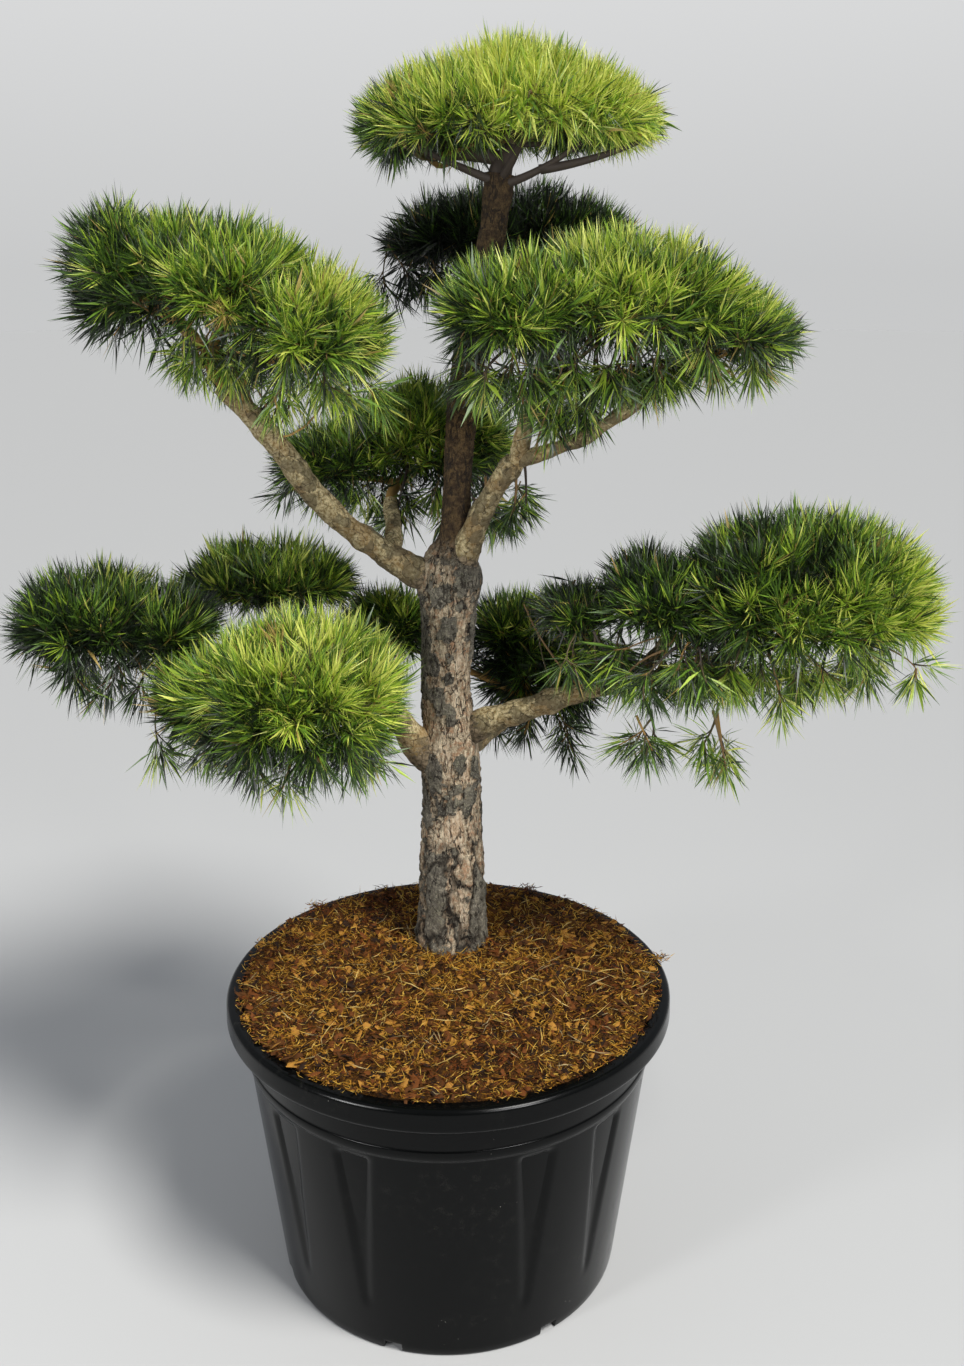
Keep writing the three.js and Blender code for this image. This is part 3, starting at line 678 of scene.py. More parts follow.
def makeChips(random):
    # Flat chips of bark: five ragged corners round a low peak on each side, turned and tilted
    settings = soilSettings
    count = settings["chips"]
    x, y, z = scatterOnSoil(count, random, 0.008)
    size = lerp(*settings["chipSizes"], random.random(count) ** 2.2)
    rim = 5
    angle = (np.arange(rim) + random.random((count, rim)) * 0.6) * 2 * np.pi / rim
    reach = size[:, None] * lerp(0.55, 1.0, random.random((count, rim)))
    flat = np.stack([np.cos(angle) * reach * 1.3, np.sin(angle) * reach * 0.8, np.zeros_like(reach)], -1)
    ends = np.zeros((count, 2, 3))
    ends[:, 0, 2], ends[:, 1, 2] = size * 0.22, -size * 0.22
    local = np.concatenate([flat, ends], 1)
    turn = random.random((count, 1)) * 2 * np.pi
    tiltX, tiltY = random.normal(0, 0.35, (2, count, 1))
    spun = np.stack([local[..., 0] * np.cos(turn) - local[..., 1] * np.sin(turn),
                     local[..., 0] * np.sin(turn) + local[..., 1] * np.cos(turn),
                     local[..., 2]], -1)
    spun[..., 2] += spun[..., 0] * tiltX + spun[..., 1] * tiltY
    centre = np.stack([x, y, z + 0.0015 + 0.002 * random.random(count)], -1)
    points = (centre[:, None] + spun).reshape(-1, 3)
    fan = [[rim, k, (k + 1) % rim] for k in range(rim)] + [[rim + 1, (k + 1) % rim, k] for k in range(rim)]
    faces = (np.arange(count)[:, None, None] * (rim + 2) + np.array(fan)).reshape(-1, 3)
    finishes = [
        plainFinish("chipBark", shade(86, 50, 15), 0.85, 0.2),
        plainFinish("chipRed", shade(108, 60, 18), 0.8, 0.2),
        plainFinish("chipWood", shade(172, 122, 48), 0.75, 0.2),
        plainFinish("chipDark", shade(40, 23, 10), 0.9, 0.2),
    ]
    tones = np.repeat(np.digitize(random.random(count), [0.36, 0.58, 0.76]), rim * 2)
    makePiece("soil_chips", points, [faces], finishes, ["soil"], smooth=False, tones=tones)


def keepInRim(points):
    # Points past the litter's edge are drawn back to it, and those over the lip are lifted onto its top
    radius = np.hypot(points[:, 0], points[:, 1])
    share = np.minimum(soilSettings["litterRadius"] / np.maximum(radius, 1e-6), 1.0)
    kept = points * np.stack([share, share, np.ones_like(share)], -1)
    onLip = radius * share > soilEdge(soilSettings["edgeHeight"]) - 0.002
    kept[:, 2] = np.where(onLip, np.maximum(kept[:, 2], potSettings["rimHeight"] + 0.0006), kept[:, 2])
    return kept


# Trunk and boughs: x, y, z and radius of their stations, in metres

trunkStations = [
    (0.002, 0.125, 0.5025, 0.065), (0.003, 0.124, 0.560, 0.061), (0.003, 0.122, 0.660, 0.059),
    (0.003, 0.120, 0.775, 0.055), (0.003, 0.119, 0.851, 0.054), (-0.003, 0.117, 0.937, 0.047),
    (-0.006, 0.116, 0.990, 0.044), (-0.004, 0.115, 1.050, 0.046), (0.000, 0.113, 1.150, 0.051),
    (0.001, 0.112, 1.192, 0.054), (0.004, 0.111, 1.226, 0.047), (0.011, 0.109, 1.260, 0.031),
    (0.014, 0.108, 1.329, 0.025), (0.018, 0.107, 1.416, 0.024), (0.024, 0.107, 1.470, 0.026),
    (0.029, 0.106, 1.510, 0.028), (0.034, 0.106, 1.570, 0.026), (0.058, 0.107, 1.672, 0.025),
    (0.078, 0.110, 1.800, 0.023), (0.088, 0.111, 1.880, 0.024),
]
boughStations = {
    "bough_left_upper": [
        (-0.024, 0.108, 1.186, 0.031), (-0.064, 0.100, 1.208, 0.027), (-0.102, 0.093, 1.233, 0.023),
        (-0.142, 0.085, 1.263, 0.021), (-0.180, 0.074, 1.296, 0.020), (-0.232, 0.056, 1.356, 0.020),
        (-0.278, 0.038, 1.427, 0.020), (-0.319, 0.022, 1.482, 0.018), (-0.366, 0.002, 1.536, 0.016),
    ],
    "bough_right_upper": [
        (0.022, 0.098, 1.202, 0.029), (0.034, 0.090, 1.256, 0.024), (0.051, 0.078, 1.299, 0.020),
        (0.068, 0.066, 1.336, 0.019), (0.092, 0.052, 1.376, 0.018), (0.113, 0.040, 1.406, 0.018),
    ],
    "bough_right_rise": [
        (0.114, 0.038, 1.398, 0.017), (0.121, 0.032, 1.428, 0.015), (0.129, 0.022, 1.461, 0.014),
        (0.141, 0.004, 1.512, 0.013), (0.152, -0.012, 1.559, 0.012), (0.160, -0.024, 1.594, 0.011),
    ],
    "bough_right_reach": [
        (0.112, 0.038, 1.404, 0.015), (0.135, 0.030, 1.414, 0.014), (0.163, 0.022, 1.425, 0.013),
        (0.190, 0.016, 1.435, 0.012), (0.223, 0.010, 1.449, 0.012), (0.253, 0.003, 1.468, 0.012),
        (0.285, -0.003, 1.490, 0.011), (0.315, -0.007, 1.512, 0.011), (0.362, -0.010, 1.547, 0.010),
    ],
    "bough_upper_back": [
        (0.062, 0.118, 1.672, 0.018), (0.076, 0.190, 1.694, 0.015), (0.092, 0.262, 1.716, 0.012),
    ],
    "bough_middle_back": [
        (-0.098, 0.094, 1.222, 0.018), (-0.100, 0.170, 1.262, 0.015), (-0.112, 0.262, 1.300, 0.013),
    ],
    "bough_left_lower": [
        (-0.014, 0.114, 0.846, 0.040), (-0.059, 0.094, 0.894, 0.028), (-0.083, 0.076, 0.938, 0.022),
        (-0.094, 0.067, 0.960, 0.020),
    ],
    "bough_left_lower_front": [
        (-0.090, 0.070, 0.951, 0.018), (-0.128, 0.024, 0.980, 0.017), (-0.166, -0.016, 1.000, 0.014),
    ],
    "bough_left_lower_far": [
        (-0.086, 0.074, 0.946, 0.018), (-0.150, 0.108, 0.986, 0.018), (-0.300, 0.116, 1.024, 0.016),
        (-0.430, 0.098, 1.052, 0.014), (-0.520, 0.074, 1.078, 0.012),
    ],
    "bough_left_lower_back": [
        (-0.180, 0.104, 0.993, 0.015), (-0.232, 0.158, 1.020, 0.014), (-0.286, 0.212, 1.062, 0.012),
    ],
    "bough_right_lower": [
        (0.029, 0.108, 0.908, 0.036), (0.062, 0.098, 0.932, 0.026), (0.102, 0.085, 0.949, 0.022),
        (0.128, 0.078, 0.960, 0.020), (0.160, 0.071, 0.972, 0.018), (0.187, 0.066, 0.984, 0.019),
        (0.220, 0.061, 0.994, 0.016), (0.256, 0.054, 1.005, 0.014), (0.290, 0.049, 1.012, 0.013),
        (0.326, 0.046, 1.021, 0.012),
    ],
    "bough_right_lower_near": [
        (0.318, 0.047, 1.016, 0.011), (0.352, 0.050, 1.062, 0.011), (0.384, 0.050, 1.100, 0.010),
    ],
    "bough_right_lower_far": [
        (0.312, 0.047, 1.018, 0.012), (0.400, 0.030, 1.046, 0.012), (0.520, 0.014, 1.092, 0.011),
    ],
    "bough_lower_back": [
        (0.016, 0.128, 0.862, 0.024), (0.070, 0.220, 0.872, 0.018), (0.122, 0.296, 0.884, 0.014),
    ],
}

barkSettings = {
    "trunkRing": 0.0029,
    "trunkSides": 124,
    "plateRadius": 0.053,   # the trunk's radius where its plates are dealt out round it
    "boughRing": 0.0034,
    "boughSides": 52,
    "ridgeDepth": 0.0052,
    "plateDepth": 0.0038,
    "flakeDepth": 0.0011,
    "crumbDepth": 0.0012,
    "crackDepth": 0.0004,
    "paleDepths": (0.0025, 0.0010),     # how deep pale strips lie below the ledge and above it
    "gritDepths": (0.0011, 0.0006),     # of fine bumps below the neck and above it
    "sunk": 0.0022,                     # how far the whole bark lies back below the neck
    # how wide and tall the cells are from which ridges, plates, crumbs and a bough's flakes come
    "ridgeCell": (0.030, 0.110),
    "plateCell": (0.026, 0.034),
    "crumbCell": (0.014, 0.020),
    "flakeCell": (0.024, 0.030),
    "flakedShare": 0.48,
    "ledgeHeight": 0.700,
    "ledgeStep": 0.0008,
    "neckHeight": 1.235,
    "flare": {"bottom": 0.5, "top": 0.56, "depth": 0.004, "folds": 5},      # folds at the trunk's foot
    # how far along the boughs that leave the trunk their bark is as old and grey as the trunk's
    "greyReach": {"bough_left_upper": 0.045, "bough_right_upper": 0.045, "bough_left_lower": 0.085,
                  "bough_right_lower": 0.045, "bough_lower_back": 0.045, "bough_upper_back": 0.045},
    "knotHalf": 0.012,
    # knots on a bough: the share of its length and how much thicker it is there
    "knots": {
        "bough_left_upper": [(0.30, 0.18), (0.62, 0.12), (0.80, 0.10)],
        "bough_right_upper": [(0.93, 0.20)],
        "bough_right_lower": [(0.52, 0.22), (0.30, 0.08)],
        "bough_right_reach": [(0.45, 0.12)],
    },
    # where boughs leave the trunk: turn from the front in degrees, height, how far the bark swells
    "meetings": [(-48, 0.868, 0.010), (32, 0.918, 0.009), (-75, 1.192, 0.007), (60, 1.205, 0.006)],
    "meetingHalf": (42, 0.038),     # the half width in degrees and half height in metres of such a swelling
    "trunkKnot": {"height": 1.512, "half": 0.014, "turn": 0.5, "swell": 0.006},
    # turn from the front in degrees, height, half width in degrees, half height in metres
    "darkPlates": [
        (7, 0.783, 17, 0.014), (13, 0.817, 10, 0.009), (19, 0.863, 15, 0.017), (-32, 0.842, 17, 0.040),
        (45, 0.795, 14, 0.013), (55, 0.850, 13, 0.020), (4, 1.112, 18, 0.024), (-30, 1.042, 16, 0.022),
        (8, 1.019, 13, 0.014), (-16, 0.972, 14, 0.026), (10, 0.950, 15, 0.020), (-52, 1.073, 18, 0.034),
        (-24, 1.165, 16, 0.020), (28, 1.188, 15, 0.022), (-60, 0.770, 16, 0.040), (-8, 1.175, 12, 0.018),
    ],
    # the same for strips where the bark has fallen and shows pale or pinkish wood
    "paleStrips": [
        (-5, 0.872, 7, 0.055), (17, 0.745, 9, 0.06), (-2, 0.645, 8, 0.045), (19, 0.570, 7, 0.055),
        (30, 1.055, 9, 0.030), (24, 0.985, 8, 0.032), (2, 0.742, 15, 0.026), (33, 0.852, 7, 0.030),
    ],
}


def smoothPath(stations, step):
    # Centripetal Catmull-Rom curve through the stations, cut into even steps of its length.
    # Gives the points, their radii, the unit tangents and the length from the start.
    knots = np.array(stations, float)
    ends = np.stack([2 * knots[0] - knots[1], 2 * knots[-1] - knots[-2]])
    knots = np.concatenate([ends[:1], knots, ends[1:]])
    share = np.linspace(0, 1, 41)[:-1, None]
    dense = []
    for span in range(1, len(knots) - 2):
        before, start, end, after = knots[span - 1:span + 3]
        first, here, last = np.linalg.norm(np.diff(knots[span - 1:span + 3, :3], axis=0), axis=1) ** 0.5
        across = (end - start) / here
        leave = ((start - before) / first - (end - before) / (first + here) + across) * here
        arrive = (across - (after - start) / (here + last) + (after - end) / last) * here
        square, cube = share ** 2, share ** 3
        dense.append((2 * cube - 3 * square + 1) * start + (cube - 2 * square + share) * leave
                     + (3 * square - 2 * cube) * end + (cube - square) * arrive)
    dense = np.concatenate([*dense, knots[-2:-1]])
    steps = np.linalg.norm(np.diff(dense[:, :3], axis=0), axis=1)
    length = np.concatenate([[0], np.cumsum(steps)])
    along = np.linspace(0, length[-1], max(4, round(length[-1] / step)))
    path = np.stack([np.interp(along, length, dense[:, k]) for k in range(4)], -1)
    tangents = np.gradient(path[:, :3], axis=0)
    tangents /= np.linalg.norm(tangents, axis=1, keepdims=True)
    return path[:, :3], path[:, 3], tangents, along


def sideVectors(tangents, facing):
    # front is the facing direction made square to the tangent, and right is square to both
    front = facing - tangents * (tangents @ facing)[:, None]
    front /= np.linalg.norm(front, axis=1, keepdims=True)
    return front, np.cross(tangents, front)


def limbSkin(stations, step, sides):
    # The smooth skin: path + radius (cos(turn) front + sin(turn) right), with turn 0 towards the viewer,
    # or upwards on a limb that runs front to back
    path, radii, tangents, along = smoothPath(stations, step)
    wide, deep, tall = np.abs(path[-1] - path[0])
    frontToBack = deep > max(wide + tall * 0.2, tall)
    front, right = sideVectors(tangents, np.array([0, 0, 1.0] if frontToBack else [0, -1.0, 0]))
    turn = np.linspace(-np.pi, np.pi, sides, endpoint=False)
    outward = np.cos(turn)[None, :, None] * front[:, None] + np.sin(turn)[None, :, None] * right[:, None]
    return path, radii, tangents, turn, outward, along


def closedLimb(path, tangents, skin, blunt):
    # Rings of the skin with an end point beyond each end
    rings, sides = skin.shape[:2]
    ends = [path[0] - tangents[0] * blunt, path[-1] + tangents[-1] * blunt]
    points = np.concatenate([skin.reshape(-1, 3), ends])
    return points, outwardFaces(points, [ringFaces(rings, sides), capFaces(rings, sides)])


def withEnds(values):
    # A value for the two end points after a grid's own
    return np.concatenate([values.ravel(), [values[0].mean(), values[-1].mean()]])


def patchMask(turnDegrees, height, patches, wobble):
    # 1 inside rounded patches given by turn, height and half sizes, with a ragged edge
    mask = np.zeros_like(turnDegrees)
    for centreTurn, centreHeight, halfTurn, halfHeight in patches:
        across = np.abs((turnDegrees - centreTurn + 180) % 360 - 180) / halfTurn
        up = np.abs(height - centreHeight) / halfHeight
        reach = (across ** 2.4 + up ** 2.4) ** (1 / 2.4) + wobble
        mask = np.maximum(mask, 1 - smoothStep(0.86, 1.04, reach))
    return mask


def trunkFinish():
    finish = Finish("plateBark")
    where = finish.place()
    tall = finish.place((1, 1, 0.28))
    fissureAndShade, tone, young = finish.attribute("fissureAndShade"), finish.attribute("tone"), finish.attribute("young")
    grit = finish.noise(where, 360, 4, 0.75)
    fine = finish.noise(where, 170, 5, 0.75)
    flecks = finish.noise(where, 80, 5, 0.75)
    streaks = finish.noise(tall, 150, 5, 0.75)
    ragged = (fine + grit + flecks - 1.5) * 1.3
    plate = (finish.attribute("plate") + ragged).between(0.36, 0.62)
    pale = (finish.attribute("pale") + ragged).between(0.45, 0.7)
    moss = finish.noise(where, 16, 3).between(0.46, 0.62)
    greyPlate = finish.blend(tone, shade(82, 78, 72), shade(174, 165, 146))
    greyPlate = finish.blend(grit.between(0.48, 0.62) * 0.8, greyPlate, shade(188, 181, 160))
    greyPlate = finish.blend(fine.between(0.56, 0.44) * 0.55, greyPlate, shade(50, 47, 44))
    greyPlate = finish.blend(moss * fine.between(0.44, 0.66) * 0.4, greyPlate, shade(104, 108, 72))
    grain = (streaks * 0.5 + fine * 0.5).between(0.38, 0.62)
    under = finish.blend(grain, shade(142, 118, 90), shade(250, 232, 200))
    under = finish.blend(flecks.between(0.50, 0.62) * 0.55, under, shade(196, 140, 100))
    under = finish.blend(grit.between(0.56, 0.68) * 0.7, under, shade(84, 70, 54))
    skin = finish.blend(plate, under, greyPlate)
    paleWood = finish.blend(streaks.between(0.35, 0.65), shade(196, 162, 128), shade(240, 224, 196))
    skin = finish.blend(pale * (1 - plate) * streaks.between(0.3, 0.5), skin, paleWood)
    # The leader's bark: the young bark's own brown, made darker as painted shade under the crown
    leader = finish.blend(flecks.between(0.35, 0.65), shade(58, 42, 26), shade(116, 92, 58))
    leader = finish.blend(grit.between(0.5, 0.68) * 0.6, leader, shade(52, 48, 34))
    skin = finish.blend(young.clamped(), skin, leader)
    wander = finish.warped(finish.place((1, 1, 0.34)), 60, 0.016)
    cracks = finish.noise(wander, 44, 3, 0.6).fromMiddle().between(0.030, 0.006) * flecks.between(0.40, 0.52)
    hair = finish.noise(wander, 120, 3, 0.6).fromMiddle().between(0.035, 0.010) * fine.between(0.46, 0.58)
    # The crevice colour darkens fissures and cracks: partly the inner bark's own dark colour, partly painted
    # shade in these recesses
    crevice = finish.blend(fine, shade(26, 21, 17), shade(58, 46, 35))
    colour = finish.blend((fissureAndShade + cracks * 0.8 + hair * 0.5).clamped(), skin, crevice)
    height = plate * 0.8 + grit * 0.7 + fine * 0.9 + streaks * 0.7 - cracks * 1.2 - hair * 0.6
    normal = finish.bump(height, 0.0040, 1.0)
    return finish.finished(Base_Color=colour, Roughness=0.92, Normal=normal, Specular_IOR_Level=0.25)


def boughFinish():
    finish = Finish("flakingBark")
    where = finish.place()
    flake, fissureAndShade = finish.attribute("plate"), finish.attribute("fissureAndShade")
    old, lit = finish.attribute("old"), finish.attribute("lit")
    grit = finish.noise(where, 380, 4, 0.75)
    fine = finish.noise(where, 190, 5, 0.72)
    flecks = finish.noise(where, 75, 5, 0.7)
    clouds = finish.noise(where, 20, 3)
    golden = finish.blend(fine.between(0.36, 0.64), shade(142, 120, 74), shade(246, 228, 180))
    golden = finish.blend(clouds.between(0.45, 0.6) * 0.55, golden, shade(160, 124, 74))
    mottle = (flake * 0.3 + flecks).between(0.54, 0.70)
    golden = finish.blend(mottle * 0.7, golden, finish.blend(clouds, shade(96, 90, 58), shade(126, 112, 90)))
    grey = finish.blend(flecks.between(0.38, 0.62), shade(64, 58, 50), shade(178, 158, 128))
    skin = finish.blend((old + fine - 0.5).between(0.35, 0.65), golden, grey)
    skin = finish.blend(grit.between(0.56, 0.68) * 0.65, skin, shade(66, 54, 34))
    # Painted shade: where lit falls away on the bough's underside, the bark is darkened half way to dark
    # brown
    skin = finish.blend((1 - lit) * 0.5, skin, shade(66, 54, 34))
    cracks = finish.cells(finish.warped(where, 50, 0.010), 70, "DISTANCE_TO_EDGE").between(0.07, 0.01)
    cracks = cracks * flecks.between(0.42, 0.58)
    # Flake rims and cracks turn dark brown: partly the bark's own colour, partly painted shade in these
    # recesses
    colour = finish.blend((fissureAndShade * 0.5 + cracks * 0.7).clamped(), skin, shade(48, 36, 22))
    normal = finish.bump(fine + grit * 0.6 + flecks * 0.8 - cracks * 0.6, 0.0019, 0.9)
    return finish.finished(Base_Color=colour, Roughness=0.88, Normal=normal, Specular_IOR_Level=0.25)


def makeTrunk():
    # The smooth skin, moved in or out by the relief of its bark: ridges, plates, flakes, swellings and grit
    settings = barkSettings
    ringStep, sides = settings["trunkRing"], settings["trunkSides"]
    path, radii, tangents, turn, outward = limbSkin(trunkStations, ringStep, sides)[:5]
    rings = len(path)
    smooth = (path[:, None] + outward * radii[:, None, None]).reshape(-1, 3)
    height = np.broadcast_to(path[:, 2:3], (rings, sides)).ravel()
    turnFlat = np.broadcast_to(turn, (rings, sides)).ravel()
    girth = 2 * np.pi * settings["plateRadius"]
    wobble = softNoise(smooth, 0.020, 11) * 0.012 + softNoise(smooth, 0.008, 12) * 0.004
    around = (turnFlat + np.pi) / (2 * np.pi) * girth + wobble
    around = around % girth
    upward = height + softNoise(smooth, 0.025, 13) * 0.014

    # Below the ledge: long ridges. Above it: ragged dark plates on paler skin. Over the neck: thin flakes
    lower = 1 - smoothStep(settings["ledgeHeight"] - 0.004, settings["ledgeHeight"] + 0.006,
                           height + 0.014 * softNoise(smooth, 0.03, 14))
    young = smoothStep(settings["neckHeight"] - 0.03, settings["neckHeight"] + 0.04, height)
    near, second, owner = plateCells(around, upward, girth, *settings["ridgeCell"], 21)
    ridgeGap = 1 - smoothStep(0.03, 0.20, second - near)
    plateOwner = plateCells(around, upward, girth, *settings["plateCell"], 22)[2]
    crumbNear, crumbSecond = plateCells(around, upward, girth, *settings["crumbCell"], 23)[:2]
    stretched = smooth * [1, 1, 0.7]
    field = softNoise(stretched, 0.034, 15) + 0.7 * softNoise(stretched, 0.016, 16)
    field = field + 0.45 * softNoise(smooth, 0.008, 17) + 0.3 * softNoise(smooth, 0.0042, 18)
    turnDegrees = np.degrees(turnFlat)
    ragged = 0.22 * softNoise(smooth, 0.012, 19) + 0.16 * softNoise(smooth, 0.005, 20)
    placed = patchMask(turnDegrees, height, settings["darkPlates"], ragged)
    pale = patchMask(turnDegrees, height, settings["paleStrips"], ragged * 1.5)
    sideways = smoothStep(26, 62, np.abs(turnDegrees))
    bias = lerp(-0.42, 0.02, smoothStep(0.93, 1.14, height)) + 0.22 * sideways
    plate = smoothStep(-0.10, 0.14, field + bias + 1.1 * placed - 0.9 * pale)
    lowerPlate = (1 - ridgeGap) * (0.55 + 0.45 * smoothStep(0.2, 0.7, owner))
    crumbs = 1 - smoothStep(0.25, 0.6, crumbNear)
    fine = softNoise(smooth, 0.006, 27) + 0.6 * softNoise(smooth, 0.0035, 28)

    middle = (1 - lower) * (1 - young)
    relief = lower * (settings["ledgeStep"] + settings["ridgeDepth"] * (lowerPlate - 0.55)
                      + settings["crumbDepth"] * crumbs - settings["paleDepths"][0] * pale)
    relief += middle * (settings["plateDepth"] * (plate - 0.4) * (0.75 + 0.25 * crumbs)
                        - settings["paleDepths"][1] * pale)
    relief += young * settings["flakeDepth"] * (1 - smoothStep(0.3, 0.65, crumbNear)) * 0.9
    relief += fine * lerp(*settings["gritDepths"], young) - settings["sunk"] * (1 - young)
    relief += softNoise(smooth, 0.09, 24) * 0.0030 * (1 - young)
    relief += softNoise(smooth, 0.05, 25) * 0.0017 * young
    knot = settings["trunkKnot"]
    facing = 0.5 + 0.5 * np.cos(turnFlat - knot["turn"])
    relief += np.exp(-((height - knot["height"]) / knot["half"]) ** 2) * facing * knot["swell"]
    halfTurn, halfHeight = settings["meetingHalf"]
    for meetTurn, meetHeight, swell in settings["meetings"]:
        across = ((turnDegrees - meetTurn + 180) % 360 - 180) / halfTurn
        relief += swell * np.exp(-across ** 2 - ((height - meetHeight) / halfHeight) ** 2)
    flare = settings["flare"]
    foot = (1 - smoothStep(flare["bottom"], flare["top"], height)) * flare["depth"]
    foot = foot * (0.5 + 0.5 * np.cos(turnFlat * flare["folds"] + 0.8))
    skin = smooth + outward.reshape(-1, 3) * (relief + foot)[:, None]
    skin = skin.reshape(rings, sides, 3)

    plateTone = np.clip(lerp(plateOwner, owner, lower) * 0.7 + 0.3 * softNoise(smooth, 0.02, 26) + 0.1, 0, 1)
    # Darkening of ridge gaps, plate edges and flake borders: partly the bark's own colour, partly painted
    # shade in these recesses
    fissureAndShade = np.clip(lower * ridgeGap ** 1.4 * 0.8 + middle * plate * (1 - plate) * 1.8
                      + young * (1 - smoothStep(0.02, 0.10, crumbSecond - crumbNear)) * 0.45, 0, 1)
    # A band of painted shade along the ledge, added to the darkening of the fissures
    shadeUnder = np.exp(-((height - settings["ledgeHeight"] - 0.005 + 0.012 * softNoise(smooth, 0.03, 14))
                          / 0.004) ** 2) * 0.5
    plateMask = lower * (1 - pale * 0.9) * smoothStep(0.30, 0.62, owner + 0.3 * fine) + middle * plate
    grids = {
        "plate": np.clip(plateMask, 0, 1), "fissureAndShade": np.clip(fissureAndShade + shadeUnder * (1 - lower), 0, 1),
        "pale": pale * (1 - young), "tone": plateTone, "young": young,
    }
    points, faces = closedLimb(path, tangents, skin, 0.0)
    attributes = {key: withEnds(value.reshape(rings, sides)) for key, value in grids.items()}
    makePiece("bark_trunk", points, faces, [trunkFinish()], ["trunk"], attributes=attributes)


def makeBoughs():
    # The smooth skin with swellings and knots along it, moved in or out by thin flakes, bumps and cracks
    settings = barkSettings
    ringStep, sides = settings["boughRing"], settings["boughSides"]
    finish = boughFinish()
    for number, (name, stations) in enumerate(boughStations.items()):
        seed = 60 + number * 7
        path, radii, tangents, turn, outward, along = limbSkin(stations, ringStep, sides)
        rings = len(path)
        tuck = 0.30 * np.exp(-(along / 0.022) ** 2)
        swell = 1 - tuck + 0.04 * np.sin(along / 0.037 + number) * smoothStep(0.03, 0.08, along)
        for knotAlong, knotSize in settings["knots"].get(name, []):
            fromKnot = (along - knotAlong * along[-1]) / settings["knotHalf"]
            swell = swell + knotSize * np.exp(-fromKnot ** 2)
        radius = radii * swell
        smooth = (path[:, None] + outward * radius[:, None, None]).reshape(-1, 3)
        girth = 2 * np.pi * radii.mean()
        turnFlat = np.broadcast_to(turn, (rings, sides)).ravel()
        alongFlat = np.broadcast_to(along[:, None], (rings, sides)).ravel()
        around = ((turnFlat + np.pi) / (2 * np.pi) * girth + softNoise(smooth, 0.015, seed) * 0.006) % girth
        upward = alongFlat + softNoise(smooth, 0.018, seed + 1) * 0.010
        near, second, owner = plateCells(around, upward, girth, *settings["flakeCell"], seed + 2)
        ragged = near + 0.12 * softNoise(smooth, 0.008, seed + 3)
        flake = (owner < settings["flakedShare"]) * (1 - smoothStep(0.40, 0.56, ragged))
        crack = 1 - smoothStep(0.01, 0.07, second - near)
        bumps = softNoise(smooth, 0.030, seed + 4) * 0.0020 + softNoise(smooth, 0.011, seed + 5) * 0.0011
        relief = settings["flakeDepth"] * (flake - 0.4) + bumps - crack * settings["crackDepth"]
        skin = (smooth + outward.reshape(-1, 3) * relief[:, None]).reshape(rings, sides, 3)
        upness = outward.reshape(-1, 3)[:, 2]
        # lit is painted light from above: 1 on the bough's upper side, 0 on its underside, which the finish
        # paints darker
        lit = smoothStep(-0.75, 0.35, upness + 0.25 * softNoise(smooth, 0.02, seed + 6))
        rim = flake * (1 - flake) * 4
        greyReach = settings["greyReach"].get(name)
        old = np.exp(-(alongFlat / greyReach) ** 2) if greyReach else np.zeros(len(alongFlat))
        # The flake rims and cracks that the finish darkens, partly as painted shade
        fissureAndShade = np.clip(rim * 0.25 + crack * 0.2, 0, 1)
        grids = {"plate": flake, "fissureAndShade": fissureAndShade, "old": old, "lit": lit}
        attributes = {key: withEnds(value.reshape(rings, sides)) for key, value in grids.items()}
        points, faces = closedLimb(path, tangents, skin, 0.004)
        makePiece("bark_" + name[6:], points, faces, [finish], [name], attributes=attributes)
